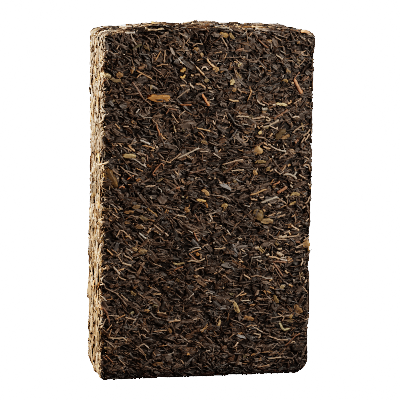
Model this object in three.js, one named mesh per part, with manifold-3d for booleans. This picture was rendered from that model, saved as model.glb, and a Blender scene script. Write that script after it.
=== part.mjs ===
// A brick of fu tea: dark tea leaf and stalk pressed in a mould into one solid block, standing on its short end.
// Millimetres, +Z up. The origin is the middle of the base, the broad front face looks along -Y, and X is the width.
// Leaf that is too fine to make piece by piece is relief on the block, and the larger rolled leaves,
// torn leaves and stalks that show are fused to it.

import * as THREE from "three";
import { mergeVertices } from "three/addons/utils/BufferGeometryUtils.js";
import Module from "manifold-3d";

// Driving dimensions of the block.
const brickHeight = 232; // base to the crown of the top
const brickWidth = 142;
const brickDepth = 40; // the pressed thickness
const proud = 1.5; // how far leaf stands out past the mean surface
const faceEdgeRadius = 2.4; // round where a broad face meets the narrow sides
const footEdgeRadius = 5; // the same at the foot, where the brick has slumped and rubbed
const footHeight = 18; // the round grows over this height
const shoulderDrop = 3; // the top is lower at its two ends than in the middle
const shoulderPower = 4;

// Corners of the outline as seen from the front: radius at the front face, and at the back.
const cornerRadius = {
  topLeft: [3, 5],
  topRight: [3, 11], // knocked off at the back
  bottomLeft: [9, 9],
  bottomRight: [8, 8],
};

// Relief. Leaf lies flat in the mould, so the bumps are longer across the brick than up it.
// Each crossing of the grid is the top or the foot of one bump.
const gridCells = { x: 20, y: 7, z: 44 };
const edgeCrowding = 0.3; // 0 spaces the grid evenly, 1 crowds it to the edges
const gridWander = 0.36; // share of a cell that a crossing may stray
const bumpHeight = 0.95; // above and below the mean surface
const swellHeight = 0.45; // slow rise and fall of a hand-filled mould
const levelFoot = 5; // the bumps fade out over this height above the base
const basePit = { depth: 0.8, share: 0.4 };
const baseFlat = { x: 16, y: 8 }; // half sizes of the stretch of the base that has no pits

// Fused pieces: how many for each 1000 mm2 of face, and their true sizes.
const piecesPerThousand = 1.35;
const kinds = {
  rolledLeaf: { share: 0.42, length: [9, 15], width: [2.2, 3.2], height: [0.9, 1.4], sides: 5, lift: 4 },
  stalk: { share: 0.34, length: [10, 22], width: [1.5, 2.1], height: [0.9, 1.3], sides: 4, lift: 3 },
  tornLeaf: { share: 0.24, length: [8, 13], width: [4.5, 7], height: [0.7, 1.0], sides: 5, lift: 9 },
};
const rootDepth = 2; // each piece is buried this far, so that no gap is left under it
const shortFirst = 1.5; // above 1 there are more short pieces than long ones
const edgeKeep = 2; // pieces end this far inside their face
const grainLean = 15; // degrees below level, to the right, that leaf on the broad faces points on average
const grainSpread = 50; // degrees either way
const sideSpread = 26; // the same on the narrow faces, where leaf lies along the face
const evenStep = [0.7548776662, 0.569840291]; // two steps with no common rhythm spread the pieces evenly
const mergeTolerance = 0.12; // flatter detail than this is merged away
const smallestBody = 1; // mm3; a loose scrap is smaller

const half = new THREE.Vector3(brickWidth / 2 - proud, brickDepth / 2 - proud, (brickHeight - proud) / 2);

const wasm = await Module();
wasm.setup();

// A repeatable stream of numbers from 0 to 1.
function seeded(seed) {
  let state = seed >>> 0;
  return () => {
    state = (state + 0x6d2b79f5) >>> 0;
    let t = state;
    t = Math.imul(t ^ (t >>> 15), t | 1);
    t ^= t + Math.imul(t ^ (t >>> 7), t | 61);
    return ((t ^ (t >>> 14)) >>> 0) / 4294967296;
  };
}

function between([low, high], share) {
  return low + (high - low) * share;
}

function eitherWay(random, reach) {
  return (2 * random() - 1) * reach;
}

function cornerRadiusAt(p) {
  const side = p.x < 0 ? "Left" : "Right";
  const corner = cornerRadius[(p.z > 0 ? "top" : "bottom") + side];
  return between(corner, p.y / half.y / 2 + 0.5);
}

// Moves a point of the plain box to the block with its rounded outline and rounded face edges.
function roundedPoint(p) {
  const radius = cornerRadiusAt(p);
  const along = new THREE.Vector2(Math.abs(p.x), Math.abs(p.z));
  const centre = new THREE.Vector2(half.x - radius, half.z - radius);
  const out = along.clone().sub(centre);
  let inward;
  let inset;
  if (out.x > 0 && out.y > 0) {
    const reach = Math.max(out.x, out.y);
    out.setLength(reach); // square corner to round corner
    along.copy(centre).add(out);
    inward = out.clone().normalize().negate();
    inset = radius - reach;
  } else if (half.x - along.x < half.z - along.y) {
    inward = new THREE.Vector2(-1, 0);
    inset = half.x - along.x;
  } else {
    inward = new THREE.Vector2(0, -1);
    inset = half.z - along.y;
  }
  const footShare = 1 - THREE.MathUtils.smoothstep(p.z + half.z, 0, footHeight);
  const edgeRadius = between([faceEdgeRadius, footEdgeRadius], footShare);
  const towardsFace = edgeRadius - (half.y - Math.abs(p.y));
  const towardsSide = edgeRadius - inset;
  let depth = Math.abs(p.y);
  if (towardsFace > 0 && towardsSide > 0) {
    const bend = new THREE.Vector2(towardsSide, towardsFace).setLength(Math.max(towardsSide, towardsFace));
    along.addScaledVector(inward, towardsSide - bend.x);
    depth = half.y - edgeRadius + bend.y;
  }
  return new THREE.Vector3(Math.sign(p.x) * along.x, Math.sign(p.y) * depth, Math.sign(p.z) * along.y);
}

// The slow rise and fall of the faces.
function swell(p) {
  return swellHeight * Math.sin(p.x / 19 + p.z / 41 + 0.8) * Math.sin(p.z / 27 - p.y / 13 + 2.1);
}

// The surface at a point of the plain box, raised by bump, with z now from the base up.
function surfacePoint(boxPoint, facing, bump) {
  const p = roundedPoint(boxPoint);
  const relief = (swell(p) + bump) * THREE.MathUtils.smoothstep(p.z + half.z, 0, levelFoot);
  p.addScaledVector(facing, relief);
  const drop = (shoulderDrop / brickHeight) * Math.pow(Math.abs(p.x) / half.x, shoulderPower);
  p.z = (p.z + half.z) * (1 - drop);
  return p;
}

// Crowds an even share from -1 to 1 towards its ends.
function crowded(share) {
  return share * (1 - edgeCrowding) + Math.sin((share * Math.PI) / 2) * edgeCrowding;
}

function withMergedPoints(geometry) {
  geometry.deleteAttribute("normal");
  geometry.deleteAttribute("uv");
  return mergeVertices(geometry, 1e-4);
}

function solidOf(geometry) {
  const merged = withMergedPoints(geometry);
  const mesh = new wasm.Mesh({
    numProp: 3,
    vertProperties: new Float32Array(merged.attributes.position.array),
    triVerts: new Uint32Array(merged.index.array),
  });
  return new wasm.Manifold(mesh);
}

// The block with its bumps: a box of grid cells whose crossings stray in their face and rise or fall.
function pressedBlock() {
  const size = half.clone().multiplyScalar(2);
  const block = withMergedPoints(
    new THREE.BoxGeometry(size.x, size.y, size.z, gridCells.x, gridCells.y, gridCells.z),
  );
  const position = block.attributes.position;
  const random = seeded(7);
  const p = new THREE.Vector3();
  const facing = new THREE.Vector3();
  for (let i = 0; i < position.count; i++) {
    p.fromBufferAttribute(position, i);
    for (const axis of ["x", "y", "z"]) {
      const share = p[axis] / half[axis];
      const onFace = Math.abs(share) > 0.9999;
      const stray = eitherWay(random, gridWander * (2 / gridCells[axis]));
      facing[axis] = onFace ? Math.sign(share) : 0;
      p[axis] = crowded(onFace ? share : share + stray) * half[axis];
    }
    const made = surfacePoint(p, facing.normalize(), eitherWay(random, bumpHeight));
    const pressedFlat = Math.abs(p.x) < baseFlat.x && Math.abs(p.y) < baseFlat.y;
    if (facing.z === -1 && !pressedFlat && random() < basePit.share) made.z += basePit.depth * random();
    position.setXYZ(i, made.x, made.y, made.z);
  }
  return block;
}

// A torn leaf lying along X, 1 across and 1 high: a thin plate of a few uneven sides.
function tornLeafGeometry(sides, random) {
  const leaf = withMergedPoints(new THREE.CylinderGeometry(0.4, 0.5, 1, sides).rotateX(Math.PI / 2));
  const position = leaf.attributes.position;
  const reach = Array.from({ length: sides }, () => between([0.7, 1.15], random()));
  for (let i = 0; i < position.count; i++) {
    const angle = Math.atan2(position.getY(i), position.getX(i));
    const side = Math.round((angle / (2 * Math.PI) + 1) * sides) % sides;
    position.setXY(i, position.getX(i) * reach[side], position.getY(i) * reach[side]);
  }
  return leaf;
}

// A rolled leaf or a stalk lying along X, 1 across and 1 high. It bows, and the ends thin by taper.
function rodGeometry(sides, rings, taper, bow) {
  const rod = withMergedPoints(new THREE.CylinderGeometry(0.5, 0.5, 1, sides, rings).rotateZ(Math.PI / 2));
  const position = rod.attributes.position;
  for (let i = 0; i < position.count; i++) {
    const along = position.getX(i);
    const thickness = 1 - 2 * taper * Math.abs(along);
    position.setY(i, position.getY(i) * thickness + bow * (0.5 - 2 * along * along));
    position.setZ(i, position.getZ(i) * thickness);
  }
  return rod;
}

function unitPiece(name, random) {
  const { sides } = kinds[name];
  if (name === "tornLeaf") return tornLeafGeometry(sides, random);
  if (name === "stalk") return rodGeometry(sides, 1, 0.08, 0);
  return rodGeometry(sides, 2, 0.5, eitherWay(random, 0.8));
}

// Stretches a unit piece to its size, its upper half standing up and its lower half buried.
function stretched(geometry, length, width, height) {
  const position = geometry.attributes.position;
  for (let i = 0; i < position.count; i++) {
    const level = position.getZ(i) * 2;
    position.setXYZ(
      i,
      position.getX(i) * length,
      position.getY(i) * width,
      level > 0 ? level * height : level * rootDepth,
    );
  }
  return geometry;
}

function pickKind(share) {
  let left = share;
  for (const name of Object.keys(kinds)) {
    left -= kinds[name].share;
    if (left < 0) return name;
  }
  return "rolledLeaf";
}

// The faces that carry pieces: their two directions, the way out, and how the grain lies, in degrees.
const faces = [
  { across: "x", up: "z", out: [0, -1, 0], lean: -grainLean, spread: grainSpread, seed: 11 },
  { across: "x", up: "z", out: [0, 1, 0], lean: -grainLean, spread: grainSpread, seed: 23 },
  { across: "z", up: "y", out: [-1, 0, 0], lean: 0, spread: sideSpread, seed: 37 },
  { across: "z", up: "y", out: [1, 0, 0], lean: 0, spread: sideSpread, seed: 41 },
  { across: "x", up: "y", out: [0, 0, 1], lean: 0, spread: sideSpread, seed: 53 },
];

function facePieces(face) {
  const random = seeded(face.seed);
  const count = Math.round((piecesPerThousand * 4 * half[face.across] * half[face.up]) / 1000);
  const out = new THREE.Vector3(...face.out);
  const across = new THREE.Vector3();
  across[face.across] = 1;
  const solids = [];
  for (let i = 0; i < count; i++) {
    const name = pickKind(random());
    const kind = kinds[name];
    const length = between(kind.length, random() ** shortFirst);
    const width = between(kind.width, random());
    const height = between(kind.height, random());
    const turn = THREE.MathUtils.degToRad(face.lean + (random() + random() - 1) * face.spread);
    const lift = THREE.MathUtils.degToRad(eitherWay(random, kind.lift));
    const piece = stretched(unitPiece(name, random), length, width, height).rotateY(lift).rotateZ(turn);

    const reachAcross = (length * Math.abs(Math.cos(turn)) + width * Math.abs(Math.sin(turn))) / 2;
    const reachUp = (length * Math.abs(Math.sin(turn)) + width * Math.abs(Math.cos(turn))) / 2;
    const [shareAcross, shareUp] = evenStep.map((step) => 2 * ((0.5 + i * step) % 1) - 1);
    const boxPoint = out.clone().multiplyScalar(Math.abs(out.dot(half)));
    boxPoint[face.across] = shareAcross * (half[face.across] - edgeKeep - reachAcross);
    boxPoint[face.up] = shareUp * (half[face.up] - edgeKeep - reachUp);
    const at = surfacePoint(boxPoint, out, 0);
    piece.applyMatrix4(new THREE.Matrix4().makeBasis(across, out.clone().cross(across), out).setPosition(at));
    solids.push(solidOf(piece));
  }
  return solids;
}

// The block with its pieces fused on, centred over the origin with its base on z = 0.
function teaBrick() {
  const fused = wasm.Manifold.union([solidOf(pressedBlock()), ...faces.flatMap(facePieces)]);
  const brick = fused
    .simplify(mergeTolerance)
    .decompose()
    .filter((body) => body.volume() > smallestBody)
    .sort((a, b) => b.volume() - a.volume())[0];
  const mesh = brick.getMesh();
  const geometry = new THREE.BufferGeometry();
  geometry.setAttribute("position", new THREE.BufferAttribute(mesh.vertProperties, 3));
  geometry.setIndex(new THREE.BufferAttribute(mesh.triVerts, 1));
  geometry.computeBoundingBox();
  const middle = geometry.boundingBox.getCenter(new THREE.Vector3());
  geometry.translate(-middle.x, -middle.y, -geometry.boundingBox.min.z);
  geometry.computeVertexNormals();
  return geometry;
}

const pressedTea = new THREE.MeshStandardMaterial({ color: 0x3d2f24, roughness: 0.85, metalness: 0 });

const part = new THREE.Group();
const brickMesh = new THREE.Mesh(teaBrick(), pressedTea);
brickMesh.name = "tea_brick";
part.add(brickMesh);

export default part;
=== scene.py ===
import math

import bpy
import numpy as np
from mathutils import Matrix, Vector


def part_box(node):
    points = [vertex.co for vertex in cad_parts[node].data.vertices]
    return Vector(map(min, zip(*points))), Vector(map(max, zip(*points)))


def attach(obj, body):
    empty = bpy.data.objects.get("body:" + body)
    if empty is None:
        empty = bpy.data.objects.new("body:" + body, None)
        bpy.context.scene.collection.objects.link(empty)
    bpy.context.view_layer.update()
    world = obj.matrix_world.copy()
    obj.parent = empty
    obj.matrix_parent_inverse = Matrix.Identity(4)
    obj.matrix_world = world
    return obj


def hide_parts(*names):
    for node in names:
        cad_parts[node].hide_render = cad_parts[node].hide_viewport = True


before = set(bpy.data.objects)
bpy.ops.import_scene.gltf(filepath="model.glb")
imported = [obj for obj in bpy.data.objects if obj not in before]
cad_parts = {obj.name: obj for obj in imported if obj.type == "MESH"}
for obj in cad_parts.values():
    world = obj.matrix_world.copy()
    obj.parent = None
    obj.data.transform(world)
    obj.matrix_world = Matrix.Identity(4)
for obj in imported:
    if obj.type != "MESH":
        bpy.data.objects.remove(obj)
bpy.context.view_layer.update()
mm = 0.001
random = np.random.default_rng(41)


def nothingSelected():
    if bpy.context.object and bpy.context.object.mode != "OBJECT":
        bpy.ops.object.mode_set(mode="OBJECT")
    bpy.ops.object.select_all(action="DESELECT")


def onlySelected(thing):
    nothingSelected()
    thing.select_set(True)
    bpy.context.view_layer.objects.active = thing


def choosePoints(thing, test):  # selects the points whose place passes the test, ready to edit
    bpy.ops.object.mode_set(mode="EDIT")
    bpy.ops.mesh.select_mode(type="VERT")
    bpy.ops.mesh.select_all(action="DESELECT")
    bpy.ops.object.mode_set(mode="OBJECT")
    for point in thing.data.vertices:
        point.select = bool(test(point.co))
    bpy.ops.object.mode_set(mode="EDIT")


def chooseFace(thing, test):  # selects the one face that passes the test best
    bpy.ops.object.mode_set(mode="EDIT")
    bpy.ops.mesh.select_mode(type="FACE")
    bpy.ops.mesh.select_all(action="DESELECT")
    bpy.ops.object.mode_set(mode="OBJECT")
    max(thing.data.polygons, key=test).select = True
    bpy.ops.object.mode_set(mode="EDIT")


def cutAcross(places):  # rings across the length, at these places along X
    bpy.ops.object.mode_set(mode="EDIT")
    for place in places:
        bpy.ops.mesh.select_all(action="SELECT")
        bpy.ops.mesh.bisect(plane_co=(place, 0, 0), plane_no=(1, 0, 0))


def withModifier(thing, kind, **values):
    onlySelected(thing)
    modifier = thing.modifiers.new(kind, kind)
    for name, value in values.items():
        setattr(modifier, name, value)
    bpy.ops.object.modifier_apply(modifier=modifier.name)


def smoothStep(value, low, high):
    share = np.clip((value - low) / (high - low), 0, 1)
    return share * share * (3 - 2 * share)


def unit(vectors):
    return vectors / np.maximum(np.linalg.norm(vectors, axis=-1, keepdims=True), 1e-12)


def alongSurface(vectors, normals):  # the part of each vector that lies in the surface
    return unit(vectors - (vectors * normals).sum(-1, keepdims=True) * normals)


# The camera stands as the photograph's did.
view = {
    "lens": 252,  # mm
    "sensor": 36,  # mm
    "distance": 1.873,
    "azimuth": -14.12,  # degrees, to the left of the front
    "elevation": 8.71,
    "roll": 0.93,
    "aim": (0.0002, 0, 0.1165),
    "farthest": 50,
    "frame": 400,  # pixels a side
    "around": 0.15,  # the brick lies within this distance of the aim
    "steps": 80,  # most steps of a ray towards the brick
    "stride": 0.9,  # share of the gap that one step takes
    "near": 0.01 * mm,  # close enough to the brick
}


def viewAxes():  # right, up and back of the camera
    azimuth, elevation, roll = (math.radians(view[key]) for key in ("azimuth", "elevation", "roll"))
    back = Vector((math.sin(azimuth) * math.cos(elevation), -math.cos(azimuth) * math.cos(elevation),
                   math.sin(elevation)))
    right = Vector((0, 0, 1)).cross(back).normalized()
    up = back.cross(right)
    return right * math.cos(roll) + up * math.sin(roll), up * math.cos(roll) - right * math.sin(roll), back


def makeCamera():
    right, up, back = viewAxes()
    data = bpy.data.cameras.new("camera")
    data.lens = view["lens"]
    data.sensor_width = view["sensor"]
    data.clip_end = view["farthest"]
    camera = bpy.data.objects.new("camera", data)
    camera.matrix_world = Matrix((right, up, back)).transposed().to_4x4()
    camera.location = Vector(view["aim"]) + back * view["distance"]
    bpy.context.scene.collection.objects.link(camera)
    bpy.context.scene.camera = camera


lights = {  # all look at the middle of the brick
    "key": {"at": (-0.83, 0.26, 0.45), "size": 0.1, "power": 122, "colour": (1, 0.76, 0.50)},
    "fill": {"at": (0.44, -0.5, 0.44), "size": 0.16, "power": 10.5, "colour": (1, 0.93, 0.80)},
    "rear": {"at": (0.9, 1.8, 0.7), "size": 0.5, "power": 18, "colour": (1, 0.92, 0.82)},
    "low": {"at": (-0.22, 0.06, 0.03), "size": 0.05, "power": 0.8, "colour": (1, 0.42, 0.06)},
}
room = {
    "aim": 0.12,  # the height that the lamps look at
    "glow": (1, 0.32, 0.10),  # light that has been through the leaf, in the gaps
    "glowStrength": 0.22,
    "pale": (1, 1, 1),
    "paleStrength": 30,
    "floor": (0.05, 0.05, 0.05),
    "floorSize": 30,
    "floorRoughness": 0.9,
}


def makeLights():
    for name, values in lights.items():
        data = bpy.data.lights.new(name, "AREA")
        data.shape = "SQUARE"
        data.size = values["size"]
        data.energy = values["power"]
        data.color = values["colour"]
        lamp = bpy.data.objects.new(name, data)
        lamp.location = values["at"]
        towards = Vector((0, 0, room["aim"])) - Vector(values["at"])
        lamp.rotation_euler = towards.to_track_quat("-Z", "Y").to_euler()
        bpy.context.scene.collection.objects.link(lamp)


def splitForCamera(tree, lit, seen, output):  # the camera sees one shader, and all else the other
    path = tree.nodes.new("ShaderNodeLightPath")
    mix = tree.nodes.new("ShaderNodeMixShader")
    for source, socket in zip((path.outputs["Is Camera Ray"], lit, seen), mix.inputs):
        tree.links.new(source, socket)
    tree.links.new(mix.outputs[0], output.inputs["Surface"])


def makeSurroundings():  # pale to the camera, a dim warm glow to the tea
    world = bpy.data.worlds.new("studio")
    bpy.context.scene.world = world
    world.use_nodes = True
    nodes = world.node_tree.nodes
    glow = nodes["Background"]
    glow.inputs["Color"].default_value = (*room["glow"], 1)
    glow.inputs["Strength"].default_value = room["glowStrength"]
    pale = nodes.new("ShaderNodeBackground")
    pale.inputs["Color"].default_value = (*room["pale"], 1)
    pale.inputs["Strength"].default_value = room["paleStrength"]
    splitForCamera(world.node_tree, glow.outputs[0], pale.outputs[0], nodes["World Output"])
    bpy.context.scene.view_settings.view_transform = "Filmic"
    bpy.context.scene.view_settings.look = "Medium High Contrast"


def makeFloor():
    nothingSelected()
    bpy.ops.mesh.primitive_plane_add(size=room["floorSize"])
    floor = bpy.context.object
    floor.name = "floor"
    material = bpy.data.materials.new("paleFloor")
    material.use_nodes = True
    tree = material.node_tree
    shader = tree.nodes["Principled BSDF"]
    shader.inputs["Base Color"].default_value = (*room["floor"], 1)
    shader.inputs["Roughness"].default_value = room["floorRoughness"]
    shader.inputs["Specular IOR Level"].default_value = 0
    bright = tree.nodes.new("ShaderNodeEmission")  # seen by the camera alone, so it doesn't light the brick
    bright.inputs["Strength"].default_value = room["paleStrength"]
    both = tree.nodes.new("ShaderNodeAddShader")
    tree.links.new(shader.outputs[0], both.inputs[0])
    tree.links.new(bright.outputs[0], both.inputs[1])
    splitForCamera(tree, shader.outputs[0], both.outputs[0], tree.nodes["Material Output"])
    floor.data.materials.append(material)


makeCamera()
makeLights()
makeSurroundings()
makeFloor()
bpy.context.scene.cycles.use_denoising = False  # a denoiser smears the finest shreds
bpy.context.scene.cycles.filter_width = 1.0  # pixels, for edges as crisp as the photograph's
print("camera, floor and light")


# The pressed block's form, from the frame's own box.
low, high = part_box("tea_brick")
block = {
    "past": 0.35 * mm,  # the mean surface of the leaf lies this far past the solid's box
    "edge": 1.6 * mm,  # round where a broad face meets the narrow sides
    "footEdge": 1.2 * mm,  # the same at the foot
    "footHeight": 8 * mm,
    "shoulderDrop": 3 * mm,  # the top falls this far towards its ends
    "shoulderPower": 4,
    "shoulderMost": 1.1,
    "topLeft": (2.2 * mm, 2.5 * mm),  # corner radius at the front and at the back
    "topRight": (5 * mm, 16 * mm),
    "bottomLeft": (4 * mm, 13 * mm),
    "bottomRight": (10.5 * mm, 7 * mm),
    "swell": 0.45 * mm,
    "firstSwell": (19 * mm, 41 * mm, 0.8),  # lengths along X and Z, and start
    "secondSwell": (13 * mm, 27 * mm, 2.1),  # lengths along Y and Z, and start
    "swellFrom": 5 * mm,  # the foot is flat, and the swell is whole above this height
    "crest": 1.8 * mm,  # two low humps on the left of the top
    "crestAt": 3.7 * mm,
    "crestLength": 11.3 * mm,
    "crestRises": (-52 * mm, -45 * mm),
    "crestFalls": (8 * mm, 20 * mm),
    "crestBelowTop": (12 * mm, 3 * mm),
}
half = np.array([(high.x - low.x) / 2 + block["past"], (high.y - low.y) / 2 + block["past"],
                 (high.z + block["past"]) / 2])


def swell(x, y, z):  # slow rise and fall of a hand-filled mould
    alongX, alongZ, start = block["firstSwell"]
    first = np.sin(x / alongX + z / alongZ + start)
    alongY, alongZ, start = block["secondSwell"]
    return block["swell"] * first * np.sin(z / alongZ - y / alongY + start)


def crest(x, height):
    wave = np.cos((x - block["crestAt"]) / block["crestLength"]) ** 2
    left = smoothStep(x, *block["crestRises"]) * (1 - smoothStep(x, *block["crestFalls"]))
    lowest, full = (high.z - depth for depth in block["crestBelowTop"])
    return block["crest"] * wave * left * smoothStep(height, lowest, full)


def cornerRadius(x, y, z):
    depth = np.clip(y / half[1] / 2 + 0.5, 0, 1)
    corner = {name: block[name][0] * (1 - depth) + block[name][1] * depth
              for name in ("topLeft", "topRight", "bottomLeft", "bottomRight")}
    return np.where(z > 0, np.where(x < 0, corner["topLeft"], corner["topRight"]),
                    np.where(x < 0, corner["bottomLeft"], corner["bottomRight"]))


def roundedGap(first, second, radius):  # the gap to two flat sides that meet in a round of that radius
    first, second = first + radius, second + radius
    return (np.minimum(np.maximum(first, second), 0)
            + np.hypot(np.maximum(first, 0), np.maximum(second, 0)) - radius)


def formGap(points):  # how far a point lies outside the block's mean surface
    x, y, z = points[..., 0], points[..., 1], points[..., 2]
    end = np.minimum(np.abs(x) / half[0], block["shoulderMost"]) ** block["shoulderPower"]
    z = z / (1 - block["shoulderDrop"] / (2 * half[2]) * end) - half[2]
    outline = roundedGap(np.abs(x) - half[0], np.abs(z) - half[2], cornerRadius(x, y, z))
    height = z + half[2]
    nearFoot = 1 - smoothStep(height, 0, block["footHeight"])
    edge = block["edge"] + (block["footEdge"] - block["edge"]) * nearFoot
    gap = roundedGap(outline, np.abs(y) - half[1], edge)
    return gap - swell(x, y, z) * smoothStep(height, 0, block["swellFrom"]) - crest(x, height)


def formNormal(points):
    step = 0.05 * mm
    slopes = [formGap(points + step * axis) - formGap(points - step * axis) for axis in np.eye(3)]
    return unit(np.stack(slopes, -1))


def ontoForm(points, level=0.0, steps=3):  # moves points to the mean surface, or to a level above it
    for _ in range(steps):
        points = points - (formGap(points) - level)[..., None] * formNormal(points)
    return points


def photoPoint(pixel):  # where a pixel of the photograph meets the block
    right, up, back = (np.array(axis) for axis in viewAxes())
    start = np.array(view["aim"]) + back * view["distance"]
    across = (np.array(pixel, float) / view["frame"] - 0.5) * view["sensor"] / view["lens"]
    ray = unit(right * across[0] - up * across[1] - back)
    reach, nearest = view["distance"] - view["around"], (math.inf, start)
    for _ in range(view["steps"]):
        place = start + ray * reach
        gap = float(formGap(place))
        nearest = min(nearest, (gap, place), key=lambda found: found[0])
        if gap < view["near"] or reach > view["distance"] + view["around"]:
            break
        reach += max(gap * view["stride"], view["near"])
    return ontoForm(nearest[1])


def newGroup(name, inputs, outputs):
    group = bpy.data.node_groups.new(name, "ShaderNodeTree")
    for label, kind in inputs:
        group.interface.new_socket(name=label, in_out="INPUT", socket_type=kind)
    for label, kind in outputs:
        group.interface.new_socket(name=label, in_out="OUTPUT", socket_type=kind)
    return group, group.nodes.new("NodeGroupInput"), group.nodes.new("NodeGroupOutput")


def setSocket(tree, socket, value):
    if isinstance(value, bpy.types.NodeSocket):
        tree.links.new(value, socket)
    elif isinstance(value, (int, float)):
        socket.default_value = value
    else:
        socket.default_value = (*value, 1)


def mixColour(tree, factor, first, second, blend="MIX"):
    node = tree.nodes.new("ShaderNodeMix")
    node.data_type = "RGBA"
    node.blend_type = blend
    for socket, value in ((0, factor), (6, first), (7, second)):  # 6 and 7 are its colour sockets
        setSocket(tree, node.inputs[socket], value)
    return node.outputs[2]


def noise(tree, vector, scale, detail, roughness):
    node = tree.nodes.new("ShaderNodeTexNoise")
    node.inputs["Scale"].default_value = scale
    node.inputs["Detail"].default_value = detail
    node.inputs["Roughness"].default_value = roughness
    tree.links.new(vector, node.inputs["Vector"])
    return node.outputs["Fac"]


def ranged(tree, value, fromLow, fromHigh, toLow=0.0, toHigh=1.0):
    node = tree.nodes.new("ShaderNodeMapRange")
    tree.links.new(value, node.inputs["Value"])
    for socket, number in zip(node.inputs[1:5], (fromLow, fromHigh, toLow, toHigh)):
        socket.default_value = number
    return node.outputs[0]


def combined(tree, kind, first, second):
    node = tree.nodes.new("ShaderNodeMath")
    node.operation = kind
    setSocket(tree, node.inputs[0], first)
    setSocket(tree, node.inputs[1], second)
    return node.outputs[0]


def stretchedVector(tree, vector, scale):
    node = tree.nodes.new("ShaderNodeMapping")
    node.inputs["Scale"].default_value = scale
    tree.links.new(vector, node.inputs["Vector"])
    return node.outputs[0]


leafLook = {
    "wrinkles": (1.0, 3, 0.6),  # scale, detail and roughness, as for each noise here
    "wrinkleStretch": (0.4, 2.0, 1),
    "blotches": (0.45, 2, 0.5),
    "blotchShare": 0.5,  # how much a leaf's tone wanders
    "torn": (0.35, 0.65),  # the wrinkles along which the rim pales: worn edges and a painted highlight
    "middle": 0.6,  # the tones of the middle and the light colour
    "light": 1.15,
    "cast": (1.0, 0, 0.5),
    "castStretch": (0, 0, 0.37),  # one value for each piece
    "castRange": (0.36, 0.64),
    "cool": (0.80, 1.05, 1.38),  # each piece lies between these two casts
    "warm": (1.22, 0.94, 0.68),
    "paintedGapShade": (0.11, 0.028, 0.006),  # painted shade: what is left of a leaf's colour deep in a gap
    "deepest": -1.35,  # mm below the mean surface, where the painted shade is full
    "open": 0.15,
    "roughness": (0.3, 0.7, 0.62, 0.45),  # from hollow to ridge of the wrinkles, and the roughness there
    "bump": 0.25 * mm,
}


def makeDriedLeafGroup():
    # Tint picks the leaf's tone, Grain runs in mm along and across it, Level is its height in the mat in mm,
    # which darkens the colour lower down as painted shade, and Rim is 1 on its torn edges.
    group, given, out = newGroup(
        "driedLeaf",
        [("Tint", "NodeSocketFloat"), ("Level", "NodeSocketFloat"), ("Rim", "NodeSocketFloat"),
         ("Grain", "NodeSocketVector"), ("Dark", "NodeSocketColor"), ("Middle", "NodeSocketColor"),
         ("Light", "NodeSocketColor"), ("Streaks", "NodeSocketFloat"), ("WornRimHighlight", "NodeSocketFloat")],
        [("Color", "NodeSocketColor"), ("Roughness", "NodeSocketFloat"), ("Height", "NodeSocketFloat")],
    )
    tint, level, rim, grain, dark, middle, light, streaks, wornRimHighlight = given.outputs[:9]
    wrinkles = noise(group, stretchedVector(group, grain, leafLook["wrinkleStretch"]), *leafLook["wrinkles"])
    blotches = noise(group, grain, *leafLook["blotches"])
    tone = tint
    for waves, strength in ((blotches, leafLook["blotchShare"]), (wrinkles, streaks)):
        middling = combined(group, "SUBTRACT", waves, 0.5)
        tone = combined(group, "ADD", tone, combined(group, "MULTIPLY", middling, strength))
    # Paler torn rims: worn edges, and a painted highlight along the rims.
    wearAndRimHighlight = combined(group, "MULTIPLY", combined(group, "MULTIPLY", rim, wornRimHighlight),
                    ranged(group, wrinkles, *leafLook["torn"]))
    tone = combined(group, "ADD", tone, wearAndRimHighlight)
    colour = mixColour(group, ranged(group, tone, 0.0, leafLook["middle"]), dark, middle)
    colour = mixColour(group, ranged(group, tone, leafLook["middle"], leafLook["light"]), colour, light)
    own = noise(group, stretchedVector(group, grain, leafLook["castStretch"]), *leafLook["cast"])
    own = ranged(group, own, *leafLook["castRange"])
    cast = mixColour(group, own, leafLook["cool"], leafLook["warm"])
    # Painted shade: the colour darkens towards the gap shade colour the lower the leaf lies in the mat.
    depth = ranged(group, level, leafLook["deepest"], leafLook["open"])
    shade = mixColour(group, depth, leafLook["paintedGapShade"], (1, 1, 1))
    for share in (cast, shade):
        colour = mixColour(group, 1.0, colour, share, "MULTIPLY")
    group.links.new(colour, out.inputs["Color"])
    group.links.new(ranged(group, wrinkles, *leafLook["roughness"]), out.inputs["Roughness"])
    group.links.new(wrinkles, out.inputs["Height"])
    return group


driedLeaf = makeDriedLeafGroup()


def leafMaterial(name, look):
    material = bpy.data.materials.new(name)
    material.use_nodes = True
    tree = material.node_tree
    shader = tree.nodes["Principled BSDF"]
    finish = tree.nodes.new("ShaderNodeGroup")
    finish.node_tree = driedLeaf
    for label in ("Dark", "Middle", "Light"):
        finish.inputs[label].default_value = (*look[label.lower()], 1)
    finish.inputs["Streaks"].default_value = look["streaks"]
    finish.inputs["WornRimHighlight"].default_value = look["wornRimHighlight"]
    for label in ("Tint", "Level", "Rim", "Grain"):
        reader = tree.nodes.new("ShaderNodeAttribute")
        reader.attribute_name = label.lower()
        tree.links.new(reader.outputs["Vector" if label == "Grain" else "Fac"], finish.inputs[label])
    bumps = tree.nodes.new("ShaderNodeBump")
    bumps.inputs["Strength"].default_value = look["bump"]
    bumps.inputs["Distance"].default_value = leafLook["bump"]
    tree.links.new(finish.outputs["Color"], shader.inputs["Base Color"])
    tree.links.new(finish.outputs["Roughness"], shader.inputs["Roughness"])
    tree.links.new(finish.outputs["Height"], bumps.inputs["Height"])
    tree.links.new(bumps.outputs["Normal"], shader.inputs["Normal"])
    shader.inputs["Specular IOR Level"].default_value = look["gloss"]
    return material


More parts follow.
